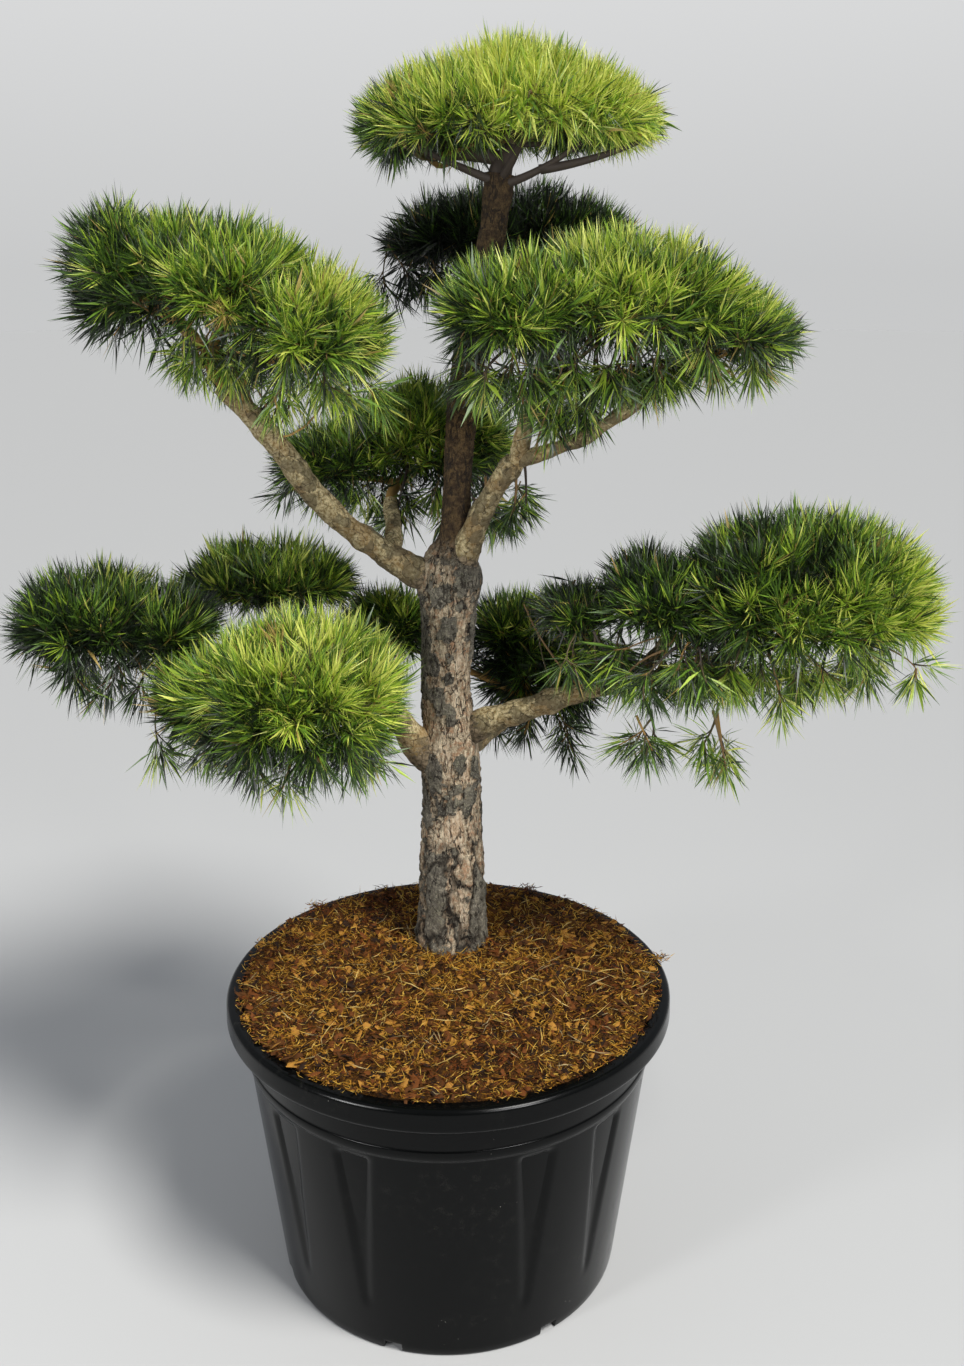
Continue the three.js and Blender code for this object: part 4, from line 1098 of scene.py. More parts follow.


# Foliage: every mass grows from its limbs and fills a few rounded lobes that flow together. A lobe is its
# centre, how far it reaches wide, deep, up and down to its needle tips, and how far round below its middle
# the needles go, as a sine. A limb is named with the share of its length where the growth leaves it and the
# lobes that it feeds. tone is how bright a mass's needles are painted, from deep shade at 0 to yellow-green
# at 1: their own colour and painted light and shade together. topSide and sunSide are painted light that
# makes it brighter upwards and to the right, and below 0 painted shade; hangTone is painted light and shade
# on the needles of its loose twigs. arms are bare limbs below it, hanging is the middle, reach and number of
# loose twigs below it, and bare names the limbs from which leafless twigs rise into its underside, from where
# to where along them, and how many.

masses = {
    "mass_crown": {
        "tone": 0.92, "topSide": 0.56, "sunSide": 0.16,
        "limbs": [("trunk", 1.0, [0, 1])],
        "lobes": [
            ((0.112, 0.112, 1.944), 0.262, 0.235, 0.148, 0.050, -0.34),
            ((-0.030, 0.118, 1.928), 0.130, 0.170, 0.118, 0.074, -0.62),
            ((0.116, 0.100, 1.965), 0.120, 0.140, 0.152, 0.060, -0.70),
        ],
        "arms": [
            [(0.088, 0.108, 1.862), (0.140, 0.070, 1.870), (0.220, 0.055, 1.926)],
            [(0.153, 0.076, 1.885), (0.230, 0.050, 1.893), (0.310, 0.040, 1.925)],
            [(0.086, 0.106, 1.868), (0.110, 0.060, 1.895), (0.130, 0.020, 1.945)],
            [(0.084, 0.106, 1.866), (0.030, 0.080, 1.885), (-0.050, 0.060, 1.920)],
        ],
    },
    "mass_upper_back": {
        "tone": 0.04, "sunSide": 0.03,
        "limbs": [("bough_upper_back", 1.0, [0])],
        "lobes": [((0.112, 0.352, 1.762), 0.262, 0.185, 0.142, 0.080, -0.55)],
        "hanging": [((-0.070, 0.300, 1.705), 0.070, 0.080, 0.020, 5)],
    },
    "mass_upper_right": {
        "tone": 0.53, "topSide": 0.18, "sunSide": 0.0,
        "limbs": [
            ("bough_right_reach", 1.0, [1, 2]), ("bough_right_reach", 0.66, [0]),
            ("bough_right_rise", 1.0, [3]),
        ],
        "lobes": [
            ((0.285, -0.015, 1.655), 0.200, 0.215, 0.156, 0.115, -0.80),
            ((0.462, 0.000, 1.602), 0.116, 0.165, 0.094, 0.040, -0.60),
            ((0.405, -0.005, 1.650), 0.110, 0.150, 0.104, 0.080, -0.75),
            ((0.106, -0.095, 1.648), 0.150, 0.160, 0.124, 0.105, -0.80),
        ],
        "hanging": [
            ((0.420, -0.020, 1.575), 0.120, 0.100, 0.025, 8),
            ((0.260, -0.030, 1.555), 0.130, 0.070, 0.025, 16),
            ((0.100, -0.080, 1.550), 0.080, 0.070, 0.030, 8),
            ((0.190, 0.000, 1.490), 0.050, 0.040, 0.020, 6),
        ],
        "bare": [("bough_right_reach", 0.15, 1.0, 26), ("bough_right_rise", 0.45, 1.0, 8)],
    },
    "mass_upper_left": {
        "tone": 0.47, "topSide": 0.02, "sunSide": 0.2, "hangTone": 0.04,
        "limbs": [("bough_left_upper", 1.0, [0, 1, 3]), ("bough_left_upper", 0.84, [2])],
        "lobes": [
            ((-0.345, -0.020, 1.690), 0.150, 0.215, 0.132, 0.142, -0.66),
            ((-0.486, 0.020, 1.712), 0.150, 0.180, 0.132, 0.176, -0.75),
            ((-0.212, -0.060, 1.618), 0.150, 0.195, 0.142, 0.130, -0.72),
            ((-0.540, 0.010, 1.766), 0.078, 0.110, 0.080, 0.090, -0.75),
        ],
        "hanging": [
            ((-0.370, -0.020, 1.580), 0.090, 0.090, 0.030, 9),
            ((-0.200, -0.050, 1.525), 0.100, 0.090, 0.030, 7),
        ],
        "bare": [("bough_left_upper", 0.72, 1.0, 14)],
    },
    "mass_middle_back": {
        "tone": 0.48, "sunSide": 0.0,
        "limbs": [("bough_middle_back", 1.0, [0, 1])],
        "lobes": [
            ((-0.045, 0.385, 1.385), 0.196, 0.155, 0.160, 0.142, -0.80),
            ((-0.225, 0.365, 1.350), 0.150, 0.150, 0.112, 0.095, -0.60),
        ],
        "hanging": [
            ((-0.060, 0.320, 1.280), 0.160, 0.080, 0.050, 10),
            ((-0.250, 0.340, 1.310), 0.070, 0.060, 0.020, 4),
            ((0.110, 0.330, 1.275), 0.050, 0.050, 0.030, 6),
        ],
    },
    "mass_lower_left_far": {
        "tone": 0.22, "sunSide": 0.0,
        "limbs": [("bough_left_lower_far", 1.0, [0]), ("bough_left_lower_far", 0.8, [1])],
        "lobes": [
            ((-0.610, 0.045, 1.128), 0.156, 0.175, 0.120, 0.118, -0.70),
            ((-0.465, 0.050, 1.108), 0.095, 0.140, 0.100, 0.100, -0.60),
        ],
        "hanging": [((-0.570, 0.030, 1.045), 0.100, 0.100, 0.030, 8)],
    },
    "mass_lower_left_back": {
        "tone": 0.42, "sunSide": 0.05,
        "limbs": [("bough_left_lower_back", 1.0, [0])],
        "lobes": [((-0.350, 0.295, 1.132), 0.200, 0.160, 0.114, 0.080, -0.55)],
    },
    "mass_lower_left_front": {
        "tone": 0.54, "sunSide": 0.06,
        "limbs": [("bough_left_lower_front", 1.0, [0, 1])],
        "lobes": [
            ((-0.234, -0.105, 1.048), 0.202, 0.205, 0.154, 0.196, -0.78),
            ((-0.405, -0.045, 1.035), 0.112, 0.140, 0.094, 0.130, -0.74),
        ],
        "hanging": [
            ((-0.240, -0.100, 0.925), 0.150, 0.100, 0.030, 6),
            ((-0.420, -0.040, 0.950), 0.080, 0.080, 0.030, 4),
        ],
    },
    "mass_lower_right_near": {
        "tone": 0.27, "topSide": -0.36, "sunSide": 0.0, "hangTone": 0.1,
        "limbs": [("bough_right_lower_near", 1.0, [0]), ("bough_right_lower", 0.62, [1])],
        "lobes": [
            ((0.365, 0.048, 1.166), 0.134, 0.185, 0.114, 0.112, -0.66),
            ((0.225, 0.095, 1.136), 0.100, 0.125, 0.068, 0.066, -0.60),
        ],
        "hanging": [
            ((0.335, -0.030, 0.925), 0.040, 0.040, 0.025, 3),
            ((0.380, -0.050, 1.060), 0.120, 0.060, 0.030, 14),
            ((0.265, 0.010, 1.075), 0.070, 0.050, 0.020, 8),
        ],
        "bare": [("bough_right_lower", 0.55, 1.0, 4)],
    },
    "mass_lower_right_far": {
        "tone": 0.52, "topSide": -0.34, "sunSide": 0.26, "hangTone": 0.04,
        "limbs": [("bough_right_lower_far", 1.0, [0])],
        "lobes": [((0.598, 0.005, 1.160), 0.252, 0.225, 0.192, 0.126, -0.62)],
        "hanging": [
            ((0.460, -0.030, 0.915), 0.050, 0.050, 0.030, 3),
            ((0.520, -0.050, 1.055), 0.130, 0.070, 0.030, 12),
            ((0.680, -0.020, 1.065), 0.110, 0.100, 0.020, 5),
        ],
        "bare": [("bough_right_lower_far", 0.15, 1.0, 14)],
    },
    "mass_lower_back": {
        "tone": 0.28, "sunSide": 0.0,
        "limbs": [("bough_lower_back", 1.0, [0, 1, 2])],
        "lobes": [
            ((0.180, 0.405, 0.945), 0.165, 0.150, 0.158, 0.160, -0.80),
            ((-0.120, 0.400, 1.020), 0.130, 0.112, 0.110, 0.108, -0.66),
            ((0.110, 0.380, 1.020), 0.095, 0.110, 0.095, 0.080, -0.75),
        ],
        "hanging": [((0.170, 0.360, 0.835), 0.110, 0.080, 0.030, 7)],
    },
}

foliageSettings = {
    "squareness": 2.15,     # how square a lobe is; 2 is an ellipse
    "flow": 7.0,            # how sharply two lobes meet; less is softer
    "heartDrop": 0.25,
    "stemShares": (0.92, 0.58),     # how thick a stem is on a limb's tip and on its side, next to the limb
    "stemTaper": 0.55,
    "sideStemShares": (0.62, 0.4),  # how thick the stems to other lobes start and end, next to the first
    "armRadii": (0.0085, 0.004),
    "boughsPerLobe": 8,
    "boughSines": (-0.15, 0.7),     # how steeply boughs leave the heart, as a sine above level
    "boughReach": (0.42, 0.62),
    "boughSag": 0.16,
    "twigPatch": 0.068,     # a twig for each patch of this size, and a shoot for each of the next
    "shootPatch": 0.0248,
    "spotsTried": 6000,     # directions tried for each lobe
    "drawsPerPatch": 3,     # spots drawn for each patch, of which an even choice is kept
    "evenGap": 0.80,        # how near two kept spots may be, in patches
    "twigDepth": 0.088,     # how far below the needle tips twigs and shoots end
    "shootDepth": 0.047,
    "tuftSag": 0.020,
    "tuftReach": 0.04,      # how far from the middle of a tuft its shoots have sagged that much
    "leavingShares": (0.3, 0.5, 0.7, 0.85, 1.0),    # where along a limb the next ones may leave it
    "heartPull": 0.05,
    "innerShare": 0.2,
    "innerDepth": (0.015, 0.05),
    "spread": 9.0,                  # how much shoots lean away from the middle of their tuft
    "facingStray": 0.26,
    "lift": (0.36, -0.15),          # how much shoots turn up on top and down on the underside
    "undersideKept": 0.5,
    "twigRadius": 0.0028,
    "shootRadius": 0.0015,
    "clearOfWood": 0.016,
    "pairSpread": 0.16,
    "shoulder": 0.42,       # how far along a needle it is widest
    "hangDroop": 0.30,
    "sprayShares": (0.52, 0.66, 0.82, 1.0),     # where along a hanging twig its sprays stand
    "sprayReach": (0.020, 0.045),
    "twigToneShares": (0.10, 0.24, 0.36, 0.30),
}

# How needles stand on a full shoot and on a loose one: pairs, the stretch they take, their lengths, how wide
# they open in degrees at its foot and at its tip, how much each strays and how much they hang
needleHabits = {
    "full": {"pairs": 22, "stretch": 0.058, "lengths": (0.042, 0.062), "width": 0.0014,
             "open": (60, 15), "stray": 10, "droop": -0.05},
    "loose": {"pairs": 14, "stretch": 0.060, "lengths": (0.046, 0.068), "width": 0.0010,
              "open": (66, 20), "stray": 12, "droop": 0.28},
}

# How much a shoot's brightness changes with where it stands, as painted light and shade, how much it varies
# at random, and how tones are dealt out by brightness
toneSettings = {
    # topSide and hangTone are painted light and shade where a mass names none of its own
    "topSide": 0.28,        # where a mass names none of its own
    "hangTone": -0.10,
    "evenHeight": 0.55,     # the share of a mass's height at which topSide changes nothing
    # sunWay and sunny paint light on shoots that face the sun; inside, underside and the tuft weight paint
    # shade deep in the mass, below it and between tufts
    "sunWay": (0.40, -0.42, 0.80),
    "sunny": 0.17,
    "inside": 0.26,
    "underside": 0.10,
    "shadeBetweenTufts": 0.16,
    "clouds": 0.14,
    "cloudSize": 0.075,
    "stray": 0.13,
    "hangStray": 0.12,
    "steps": 5.4,
    # shares of the needles, added up, that are two steps darker, one darker, the same and one lighter
    "changes": (0.12, 0.34, 0.66, 0.88),
    "dryShoots": 0.003,
    "dryNeedles": 0.012,
}

# Needle tones from dark to light, dealt out by a shoot's brightness: the darker partly painted shade, the
# lighter partly painted light, besides the needles' own greens; straw is dry needles
greenTones = [
    ("needlesShade", shade(20, 31, 15)),
    ("needlesDeep", shade(38, 56, 26)),
    ("needlesMid", shade(70, 100, 34)),
    ("needlesFresh", shade(112, 150, 48)),
    ("needlesBright", shade(172, 200, 64)),
    ("needlesGold", shade(226, 232, 112)),
    ("needlesStraw", shade(186, 160, 92)),
]
# Twig tones. The darkest is the colour of dead twigs, and on the crown's stems and arms it is painted shade
twigTones = [
    ("twigGolden", shade(170, 132, 68)),
    ("twigTan", shade(128, 98, 54)),
    ("twigOlive", shade(92, 80, 44)),
    ("twigDeadAndShade", shade(56, 43, 31)),
]

goldenAngle = math.pi * (3 - math.sqrt(5))


def lobeReach(lobe, ways):
    # How far a lobe reaches along unit directions: (|x/wide|^p + |y/deep|^p + |z/rise or drop|^p)^(-1/p)
    wide, deep, rise, drop = lobe[1:5]
    power = foliageSettings["squareness"]
    tall = np.where(ways[:, 2] > 0, rise, drop)
    parts = (np.abs(ways[:, 0] / wide), np.abs(ways[:, 1] / deep), np.abs(ways[:, 2] / tall))
    return sum(part ** power for part in parts) ** (-1 / power)


def lobeDepth(lobe, points):
    # 0 at the centre of a lobe, 1 at its needle tips
    offset = points - np.array(lobe[0])
    distance = np.maximum(np.linalg.norm(offset, axis=1), 1e-5)
    return np.maximum(distance / lobeReach(lobe, offset / distance[:, None]), 1e-3)


def massDepth(lobes, points):
    # The lobes' depths joined by a soft least value, (sum of depth^-k)^(-1/k), so that they flow together
    flow = foliageSettings["flow"]
    return sum(lobeDepth(lobe, points) ** -flow for lobe in lobes) ** (-1 / flow)


def massNormal(lobes, points):
    # The direction in which that depth grows fastest
    steps = np.eye(3) * 0.002
    rises = [massDepth(lobes, points + step) - massDepth(lobes, points - step) for step in steps]
    normal = np.stack(rises, -1)
    return normal / np.maximum(np.linalg.norm(normal, axis=1, keepdims=True), 1e-9)


def massSurface(lobes, patch, random):
    # Points spread evenly over the joined lobes' outer face, about one to a patch, with their normals. Each
    # lobe's reach is drawn in or out, step by step, until the joined depth is 1 there.
    settings = foliageSettings
    allPoints = []
    for number, lobe in enumerate(lobes):
        centre, lowest, many = np.array(lobe[0]), lobe[5], settings["spotsTried"]
        sine = lowest + (0.9995 - lowest) * (np.arange(many) + 0.5) / many
        level = np.sqrt(1 - sine ** 2)
        turn = np.arange(many) * goldenAngle + random.random() * 6
        ways = np.stack([np.cos(turn) * level, np.sin(turn) * level, sine], -1)
        reach = lobeReach(lobe, ways)
        for step in range(12):
            reach = reach / np.clip(massDepth(lobes, centre + ways * reach[:, None]), 0.88, 1.12)
        points = centre + ways * reach[:, None]
        own = lobeDepth(lobe, points)
        others = [lobeDepth(other, points) for place, other in enumerate(lobes) if place != number]
        mine = np.all([own <= other for other in [*others, own]], axis=0)
        mine &= np.abs(massDepth(lobes, points) - 1) < 0.03
        facing = np.maximum(np.einsum("ij,ij->i", ways, massNormal(lobes, points)), 0.25)
        area = np.where(mine, reach ** 2 / facing, 0) * 2 * np.pi * (0.9995 - lowest) / many
        count = round(area.sum() / patch ** 2 * settings["drawsPerPatch"])
        sums = np.cumsum(area) / area.sum()
        picked = np.searchsorted(sums, (np.arange(count) + random.random(count)) / count)
        allPoints.append(points[np.minimum(picked, many - 1)])
    points = np.concatenate(allPoints)
    points = points[spacedOut(points, patch * settings["evenGap"], random)]
    return points, massNormal(lobes, points)


def spacedOut(points, distance, random):
    # An even choice of points: round by round, those drawn before all their neighbours stay and these go
    square = (points ** 2).sum(1)
    near = square[:, None] + square[None] - 2 * points @ points.T < distance ** 2
    np.fill_diagonal(near, True)
    drawn = random.permutation(len(points))
    left, kept = np.ones(len(points), bool), np.zeros(len(points), bool)
    while left.any():
        earliest = np.where(near & left[None], drawn[None], len(drawn)).min(1)
        chosen = left & (drawn == earliest)
        kept |= chosen
        left &= ~near[chosen].any(0)
    return kept


def heartOf(lobe):
    # Where a lobe's growth starts from, a little below its centre
    return np.array(lobe[0]) - [0, 0, lobe[4] * foliageSettings["heartDrop"]]


def curvePoint(runs, share):
    # A bend through three points: (1-t)^2 start + 2t(1-t) middle + t^2 end
    start, middle, end = runs[:3]
    t = share[:, None]
    return (1 - t) ** 2 * start + 2 * t * (1 - t) * middle + t ** 2 * end


def curveWay(runs, share):
    # The unit tangent of the same bend
    start, middle, end = runs[:3]
    t = share[:, None]
    way = 2 * (1 - t) * (middle - start) + 2 * t * (end - middle)
    return way / np.maximum(np.linalg.norm(way, axis=1, keepdims=True), 1e-9)


def nearestOnRuns(ends, runs, heart):
    # For each end, the nearest of some places along the runs, with a pull towards the heart, and the way on
    settings = foliageSettings
    count = len(runs[0])
    shares = np.array(settings["leavingShares"])
    places = np.concatenate([curvePoint(runs, np.full(count, share)) for share in shares])
    distance = np.linalg.norm(ends[:, None] - places[None], axis=2)
    distance = distance + settings["heartPull"] * np.linalg.norm(places - heart, axis=1)[None]
    best = distance.argmin(1)
    ways = curveWay([part[best % count] for part in runs], shares[best // count])
    return places[best], ways


def tubeSet(runs, radii, rings, sides):
    # Round tapering tubes along the bends, each closed by a point at both ends
    count = len(runs[0])
    shares = np.linspace(0, 1, rings)
    chord = runs[2] - runs[0]
    chord /= np.maximum(np.linalg.norm(chord, axis=1, keepdims=True), 1e-9)
    side, other = squareTo(chord)
    turn = np.linspace(0, 2 * np.pi, sides, endpoint=False)
    around = side[:, None] * np.cos(turn)[None, :, None] + other[:, None] * np.sin(turn)[None, :, None]
    centres = np.stack([curvePoint(runs, np.full(count, share)) for share in shares], 1)
    radius = lerp(radii[0][:, None], radii[1][:, None], shares[None])
    rims = centres[:, :, None] + around[:, None] * radius[:, :, None, None]
    points = np.concatenate([rims.reshape(count, -1, 3), centres[:, :1], centres[:, -1:]], 1)
    stride = rings * sides + 2
    base = np.arange(count)[:, None, None] * stride
    quads = (base + ringFaces(rings, sides)).reshape(-1, 4)
    fans = (base + capFaces(rings, sides)).reshape(-1, 3)
    return points.reshape(-1, 3), quads[:, ::-1], fans[:, ::-1]


def limbOf(name):
    return trunkStations if name == "trunk" else boughStations[name]


woodPaths = [smoothPath(limbOf(name), 0.02) for name in ["trunk", *boughStations]]
woodPoints = np.concatenate([path[0] for path in woodPaths])
woodRadii = np.concatenate([path[1] for path in woodPaths])


def clearOfWood(points, margin):
    # Whether each point is further than the margin from the bark of the trunk and boughs
    distance = np.linalg.norm(points[:, None] - woodPoints[None], axis=2) - woodRadii[None]
    return distance.min(1) > margin


def joined(first, second):
    # Two sets of bends as one
    return [np.concatenate(pair) for pair in zip(first, second)]


def growStems(mass, hearts):
    # A stem from each limb to the heart of the first lobe it feeds, and from halfway up it to its other lobes
    settings, stems = foliageSettings, []
    for limbName, share, fed in mass["limbs"]:
        path, radii, tangents = smoothPath(limbOf(limbName), 0.01)[:3]
        at = min(round(share * (len(path) - 1)), len(path) - 2)
        start, onward = path[at], tangents[at]
        radius = radii[at] * settings["stemShares"][0 if share == 1.0 else 1]
        end = hearts[fed[0]]
        reach = np.linalg.norm(end - start)
        middle = start + (onward * 0.55 + [0, 0, 0 if share == 1.0 else 0.25]) * reach
        stem = [start[None], middle[None], end[None]]
        stems.append((stem, radius, radius * settings["stemTaper"]))
        parting = curvePoint(stem, np.array([0.5]))[0]
        first, last = settings["sideStemShares"]
        for other in fed[1:]:
            middle = lerp(parting, hearts[other], 0.5) + [0, 0, 0.012]
            stems.append(([parting[None], middle[None], hearts[other][None]], radius * first, radius * last))
    for arm in mass.get("arms", []):
        stems.append(([np.array([place]) for place in arm], *settings["armRadii"]))
    return stems


def growBoughs(lobes, hearts, random):
    # Bends from each lobe's heart, spread round it, that sag a little and end about half way out
    settings, boughs = foliageSettings, [np.zeros((0, 3))] * 3
    count = settings["boughsPerLobe"]
    for lobe, heart in zip(lobes, hearts):
        turn = (np.arange(count) + random.random(count) * 0.6) * 2 * np.pi / count
        sine = random.uniform(*settings["boughSines"], count)
        ways = np.stack([np.cos(turn), np.sin(turn), sine], -1)
        ways /= np.linalg.norm(ways, axis=1, keepdims=True)
        reach = lobeReach(lobe, ways) * random.uniform(*settings["boughReach"], count)
        ends = np.array(lobe[0]) + ways * reach[:, None]
        starts = np.repeat(heart[None], count, 0)
        sag = np.linalg.norm(ends - starts, axis=1, keepdims=True) * [0, 0, -settings["boughSag"]]
        middle = (starts + ends) / 2 + sag + random.normal(0, 0.009, ends.shape)
        boughs = joined(boughs, [starts, middle, ends])
    return boughs


def growTwigs(lobes, hearts, boughs, random):
    # A bend for each large patch, from the nearest bough to below the patch, and the middles of those patches
    settings = foliageSettings
    surface, normal = massSurface(lobes, settings["twigPatch"], random)
    inset = settings["twigDepth"] * random.uniform(0.85, 1.25, len(surface))
    inset = np.minimum(inset, lobeThickness(lobes, surface))
    ends = surface - normal * inset[:, None]
    starts, ways = nearestOnRuns(ends, boughs, hearts[0])
    length = np.linalg.norm(ends - starts, axis=1, keepdims=True)
    middle = starts + ways * length * 0.45 + random.normal(0, 0.006, starts.shape)
    return [starts, middle, ends], surface


def growShoots(lobes, hearts, twigs, tufts, random):
    # A bend for each small patch, from the nearest twig, that leans away from the middle of its tuft; some
    # stay deeper inside, and on the underside there are fewer. With them goes what is known of each patch.
    settings = foliageSettings
    surface, normal = massSurface(lobes, settings["shootPatch"], random)
    toTuft = np.linalg.norm(surface[:, None] - tufts[None], axis=2)
    nearest, fromTuft = toTuft.argmin(1), toTuft.min(1) / settings["tuftReach"]
    aside = surface - tufts[nearest]
    aside -= normal * np.einsum("ij,ij->i", aside, normal)[:, None]
    inner = random.random(len(surface)) < settings["innerShare"]
    inset = settings["shootDepth"] + settings["tuftSag"] * np.minimum(fromTuft ** 2, 2.0)
    inset = inset + random.exponential(0.006, len(surface)) - 0.007
    inset = inset + np.where(inner, random.uniform(*settings["innerDepth"], len(surface)), 0)
    inset = np.minimum(inset, lobeThickness(lobes, surface) * 0.62)
    ends = surface - normal * inset[:, None]
    below = smoothStep(0.1, 0.6, -normal[:, 2])
    facing = normal + aside * settings["spread"] + random.normal(0, settings["facingStray"], normal.shape)
    facing[:, 2] += lerp(*settings["lift"], below)
    facing /= np.linalg.norm(facing, axis=1, keepdims=True)
    keep = clearOfWood(ends, settings["clearOfWood"])
    keep &= random.random(len(normal)) < lerp(1.0, settings["undersideKept"], below)
    ends, facing = ends[keep], facing[keep]
    starts = nearestOnRuns(ends - facing * 0.05, twigs, hearts[0])[0]
    span = np.linalg.norm(ends - starts, axis=1)
    middle = ends - facing * np.clip(span, 0.03, 0.09)[:, None] * 0.55
    spots = {"surface": surface, "normal": normal, "inner": inner, "fromTuft": fromTuft, "below": below}
    return [starts, middle, ends], {key: values[keep] for key, values in spots.items()}


def brightnessOf(mass, spots, seed, random):
    # The mass's own tone with painted light and shade: brighter upwards, to the right and towards the sun,
    # darker inside, below and between tufts; and uneven at random in patches and from shoot to shoot
    weights, lobes, surface = toneSettings, mass["lobes"], spots["surface"]
    lowest = min(lobe[0][2] - lobe[4] for lobe in lobes)
    highest = max(lobe[0][2] + lobe[3] for lobe in lobes)
    left = min(lobe[0][0] - lobe[1] for lobe in lobes)
    right = max(lobe[0][0] + lobe[1] for lobe in lobes)
    height = (surface[:, 2] - lowest) / (highest - lowest) - weights["evenHeight"]
    rightward = (surface[:, 0] - left) / (right - left) * 2 - 1
    bright = mass["tone"] + mass.get("topSide", weights["topSide"]) * height + mass["sunSide"] * rightward
    bright += weights["sunny"] * (spots["normal"] @ np.array(weights["sunWay"]))
    bright -= weights["inside"] * spots["inner"] + weights["underside"] * spots["below"]
    bright -= weights["shadeBetweenTufts"] * spots["fromTuft"] ** 2
    bright += weights["clouds"] * softNoise(surface, weights["cloudSize"], seed)
    return bright + random.normal(0, weights["stray"], len(bright))


def growMass(mass, seed):
    # Boughs from the hearts, twigs from the boughs and shoots from the twigs: each level ends on an even
    # spread of points below the needle tips and leaves the nearest limb of the level before it
    random = np.random.default_rng(seed)
    lobes = mass["lobes"]
    hearts = [heartOf(lobe) for lobe in lobes]
    stems = growStems(mass, hearts)
    boughs = growBoughs(lobes, hearts, random)
    twigs, tufts = growTwigs(lobes, hearts, boughs, random)
    shoots, spots = growShoots(lobes, hearts, twigs, tufts, random)
    bright = brightnessOf(mass, spots, seed, random)
    full = spots["below"] + random.normal(0, 0.1, len(bright)) < 0.5
    groups = {}
    for habit, chosen in (("full", full), ("loose", ~full)):
        droop = np.full(chosen.sum(), needleHabits[habit]["droop"])
        groups[habit] = ([part[chosen] for part in shoots], bright[chosen], droop)

    bare = [np.zeros((0, 3))] * 3
    for at, wide, deep, tall, count in mass.get("hanging", []):
        hung, hungTwigs = growHanging(np.array(at), (wide, deep, tall), count, random)
        bare = joined(bare, hungTwigs)
        # hangTone is painted light and shade on the hanging sprays' needles, added to the mass's tone
        hangTone = mass.get("hangTone", toneSettings["hangTone"])
        hungBright = mass["tone"] + hangTone + random.normal(0, toneSettings["hangStray"], len(hung[0]))
        shoots, bright, droop = groups["loose"]
        hungDroop = np.full(len(hungBright), foliageSettings["hangDroop"])
        groups["loose"] = (joined(shoots, hung), *joined((bright, droop), (hungBright, hungDroop)))
    undersides = spots["surface"][~full]
    for limbName, first, last, count in mass.get("bare", []):
        bare = joined(bare, growBare(limbOf(limbName), first, last, count, undersides, random))
    return stems, boughs, twigs, bare, groups, random


def lobeThickness(lobes, points):
    # 1.6 times the smaller height of the lobe that each point is nearest to
    depth = np.stack([lobeDepth(lobe, points) for lobe in lobes])
    thickness = np.array([min(lobe[3], lobe[4]) * 1.6 for lobe in lobes])
    return thickness[depth.argmin(0)]


def growHanging(at, reach, count, random):
    # Loose twigs that leave the underside of the mass, bend down under their weight and carry open sprays on
    # both sides of their outer half: ends spread through an ellipsoid, roots above it and nearer its middle
    settings = foliageSettings
    turn = np.arange(count) * goldenAngle + random.random() * 6
    across = np.sqrt((np.arange(count) + 0.5) / count)
    aside = np.stack([np.cos(turn) * reach[0], np.sin(turn) * reach[1], np.zeros(count)], -1)
    aside = aside * across[:, None]
    ends = at + aside + np.array([0, 0, 1]) * random.uniform(-1, 0.6, count)[:, None] * reach[2]
    starts = at + aside * 0.35 + random.normal(0, 0.02, aside.shape)
    starts[:, 2] = at[2] + reach[2] + random.uniform(0.02, 0.06, count)
    middle = lerp(starts, ends, 0.5) + aside * 0.30 + random.normal(0, 0.012, aside.shape)
    runs = [starts, middle, ends]
    shares = np.array(settings["sprayShares"])
    share = np.repeat(shares[None], count, 0).ravel()
    owner = np.repeat(np.arange(count), len(shares))
    parts = [part[owner] for part in runs]
    places, way = curvePoint(parts, share), curveWay(parts, share)
    side, other = squareTo(way)
    swing = (np.tile(np.arange(len(shares)), count) * np.pi + random.normal(0, 0.8, len(owner)))[:, None]
    outer = (share < 0.99)[:, None]
    heading = way + outer * 0.9 * (np.cos(swing) * side + np.sin(swing) * other)
    heading /= np.linalg.norm(heading, axis=1, keepdims=True)
    length = random.uniform(*settings["sprayReach"], len(share))[:, None]
    tips = places + heading * np.where(outer, length, 0.0)
    roots = np.where(outer, places, curvePoint(parts, np.maximum(share - 0.35, 0)))
    middle = lerp(roots, tips, 0.5) + way * 0.004
    return [roots, middle, tips], runs


def growBare(stations, first, last, count, undersides, random):
    # Leafless twigs that rise from a limb to nearby spots of the mass's underside
    path = smoothPath(stations, 0.01)[0]
    place = (first + (last - first) * (np.arange(count) + random.random(count)) / count) * (len(path) - 1)
    starts = path[np.minimum(place.astype(int), len(path) - 2)]
    spots = undersides[random.integers(0, len(undersides), (count, 12))]
    distance = np.linalg.norm(spots - starts[:, None] - [0, 0, 0.06], axis=2)
    ends = spots[np.arange(count), distance.argmin(1)] + [0, 0, 0.035]
    length = np.linalg.norm(ends - starts, axis=1, keepdims=True)
    return [starts, (starts + ends) / 2 + random.normal(0, 0.13, starts.shape) * length, ends]


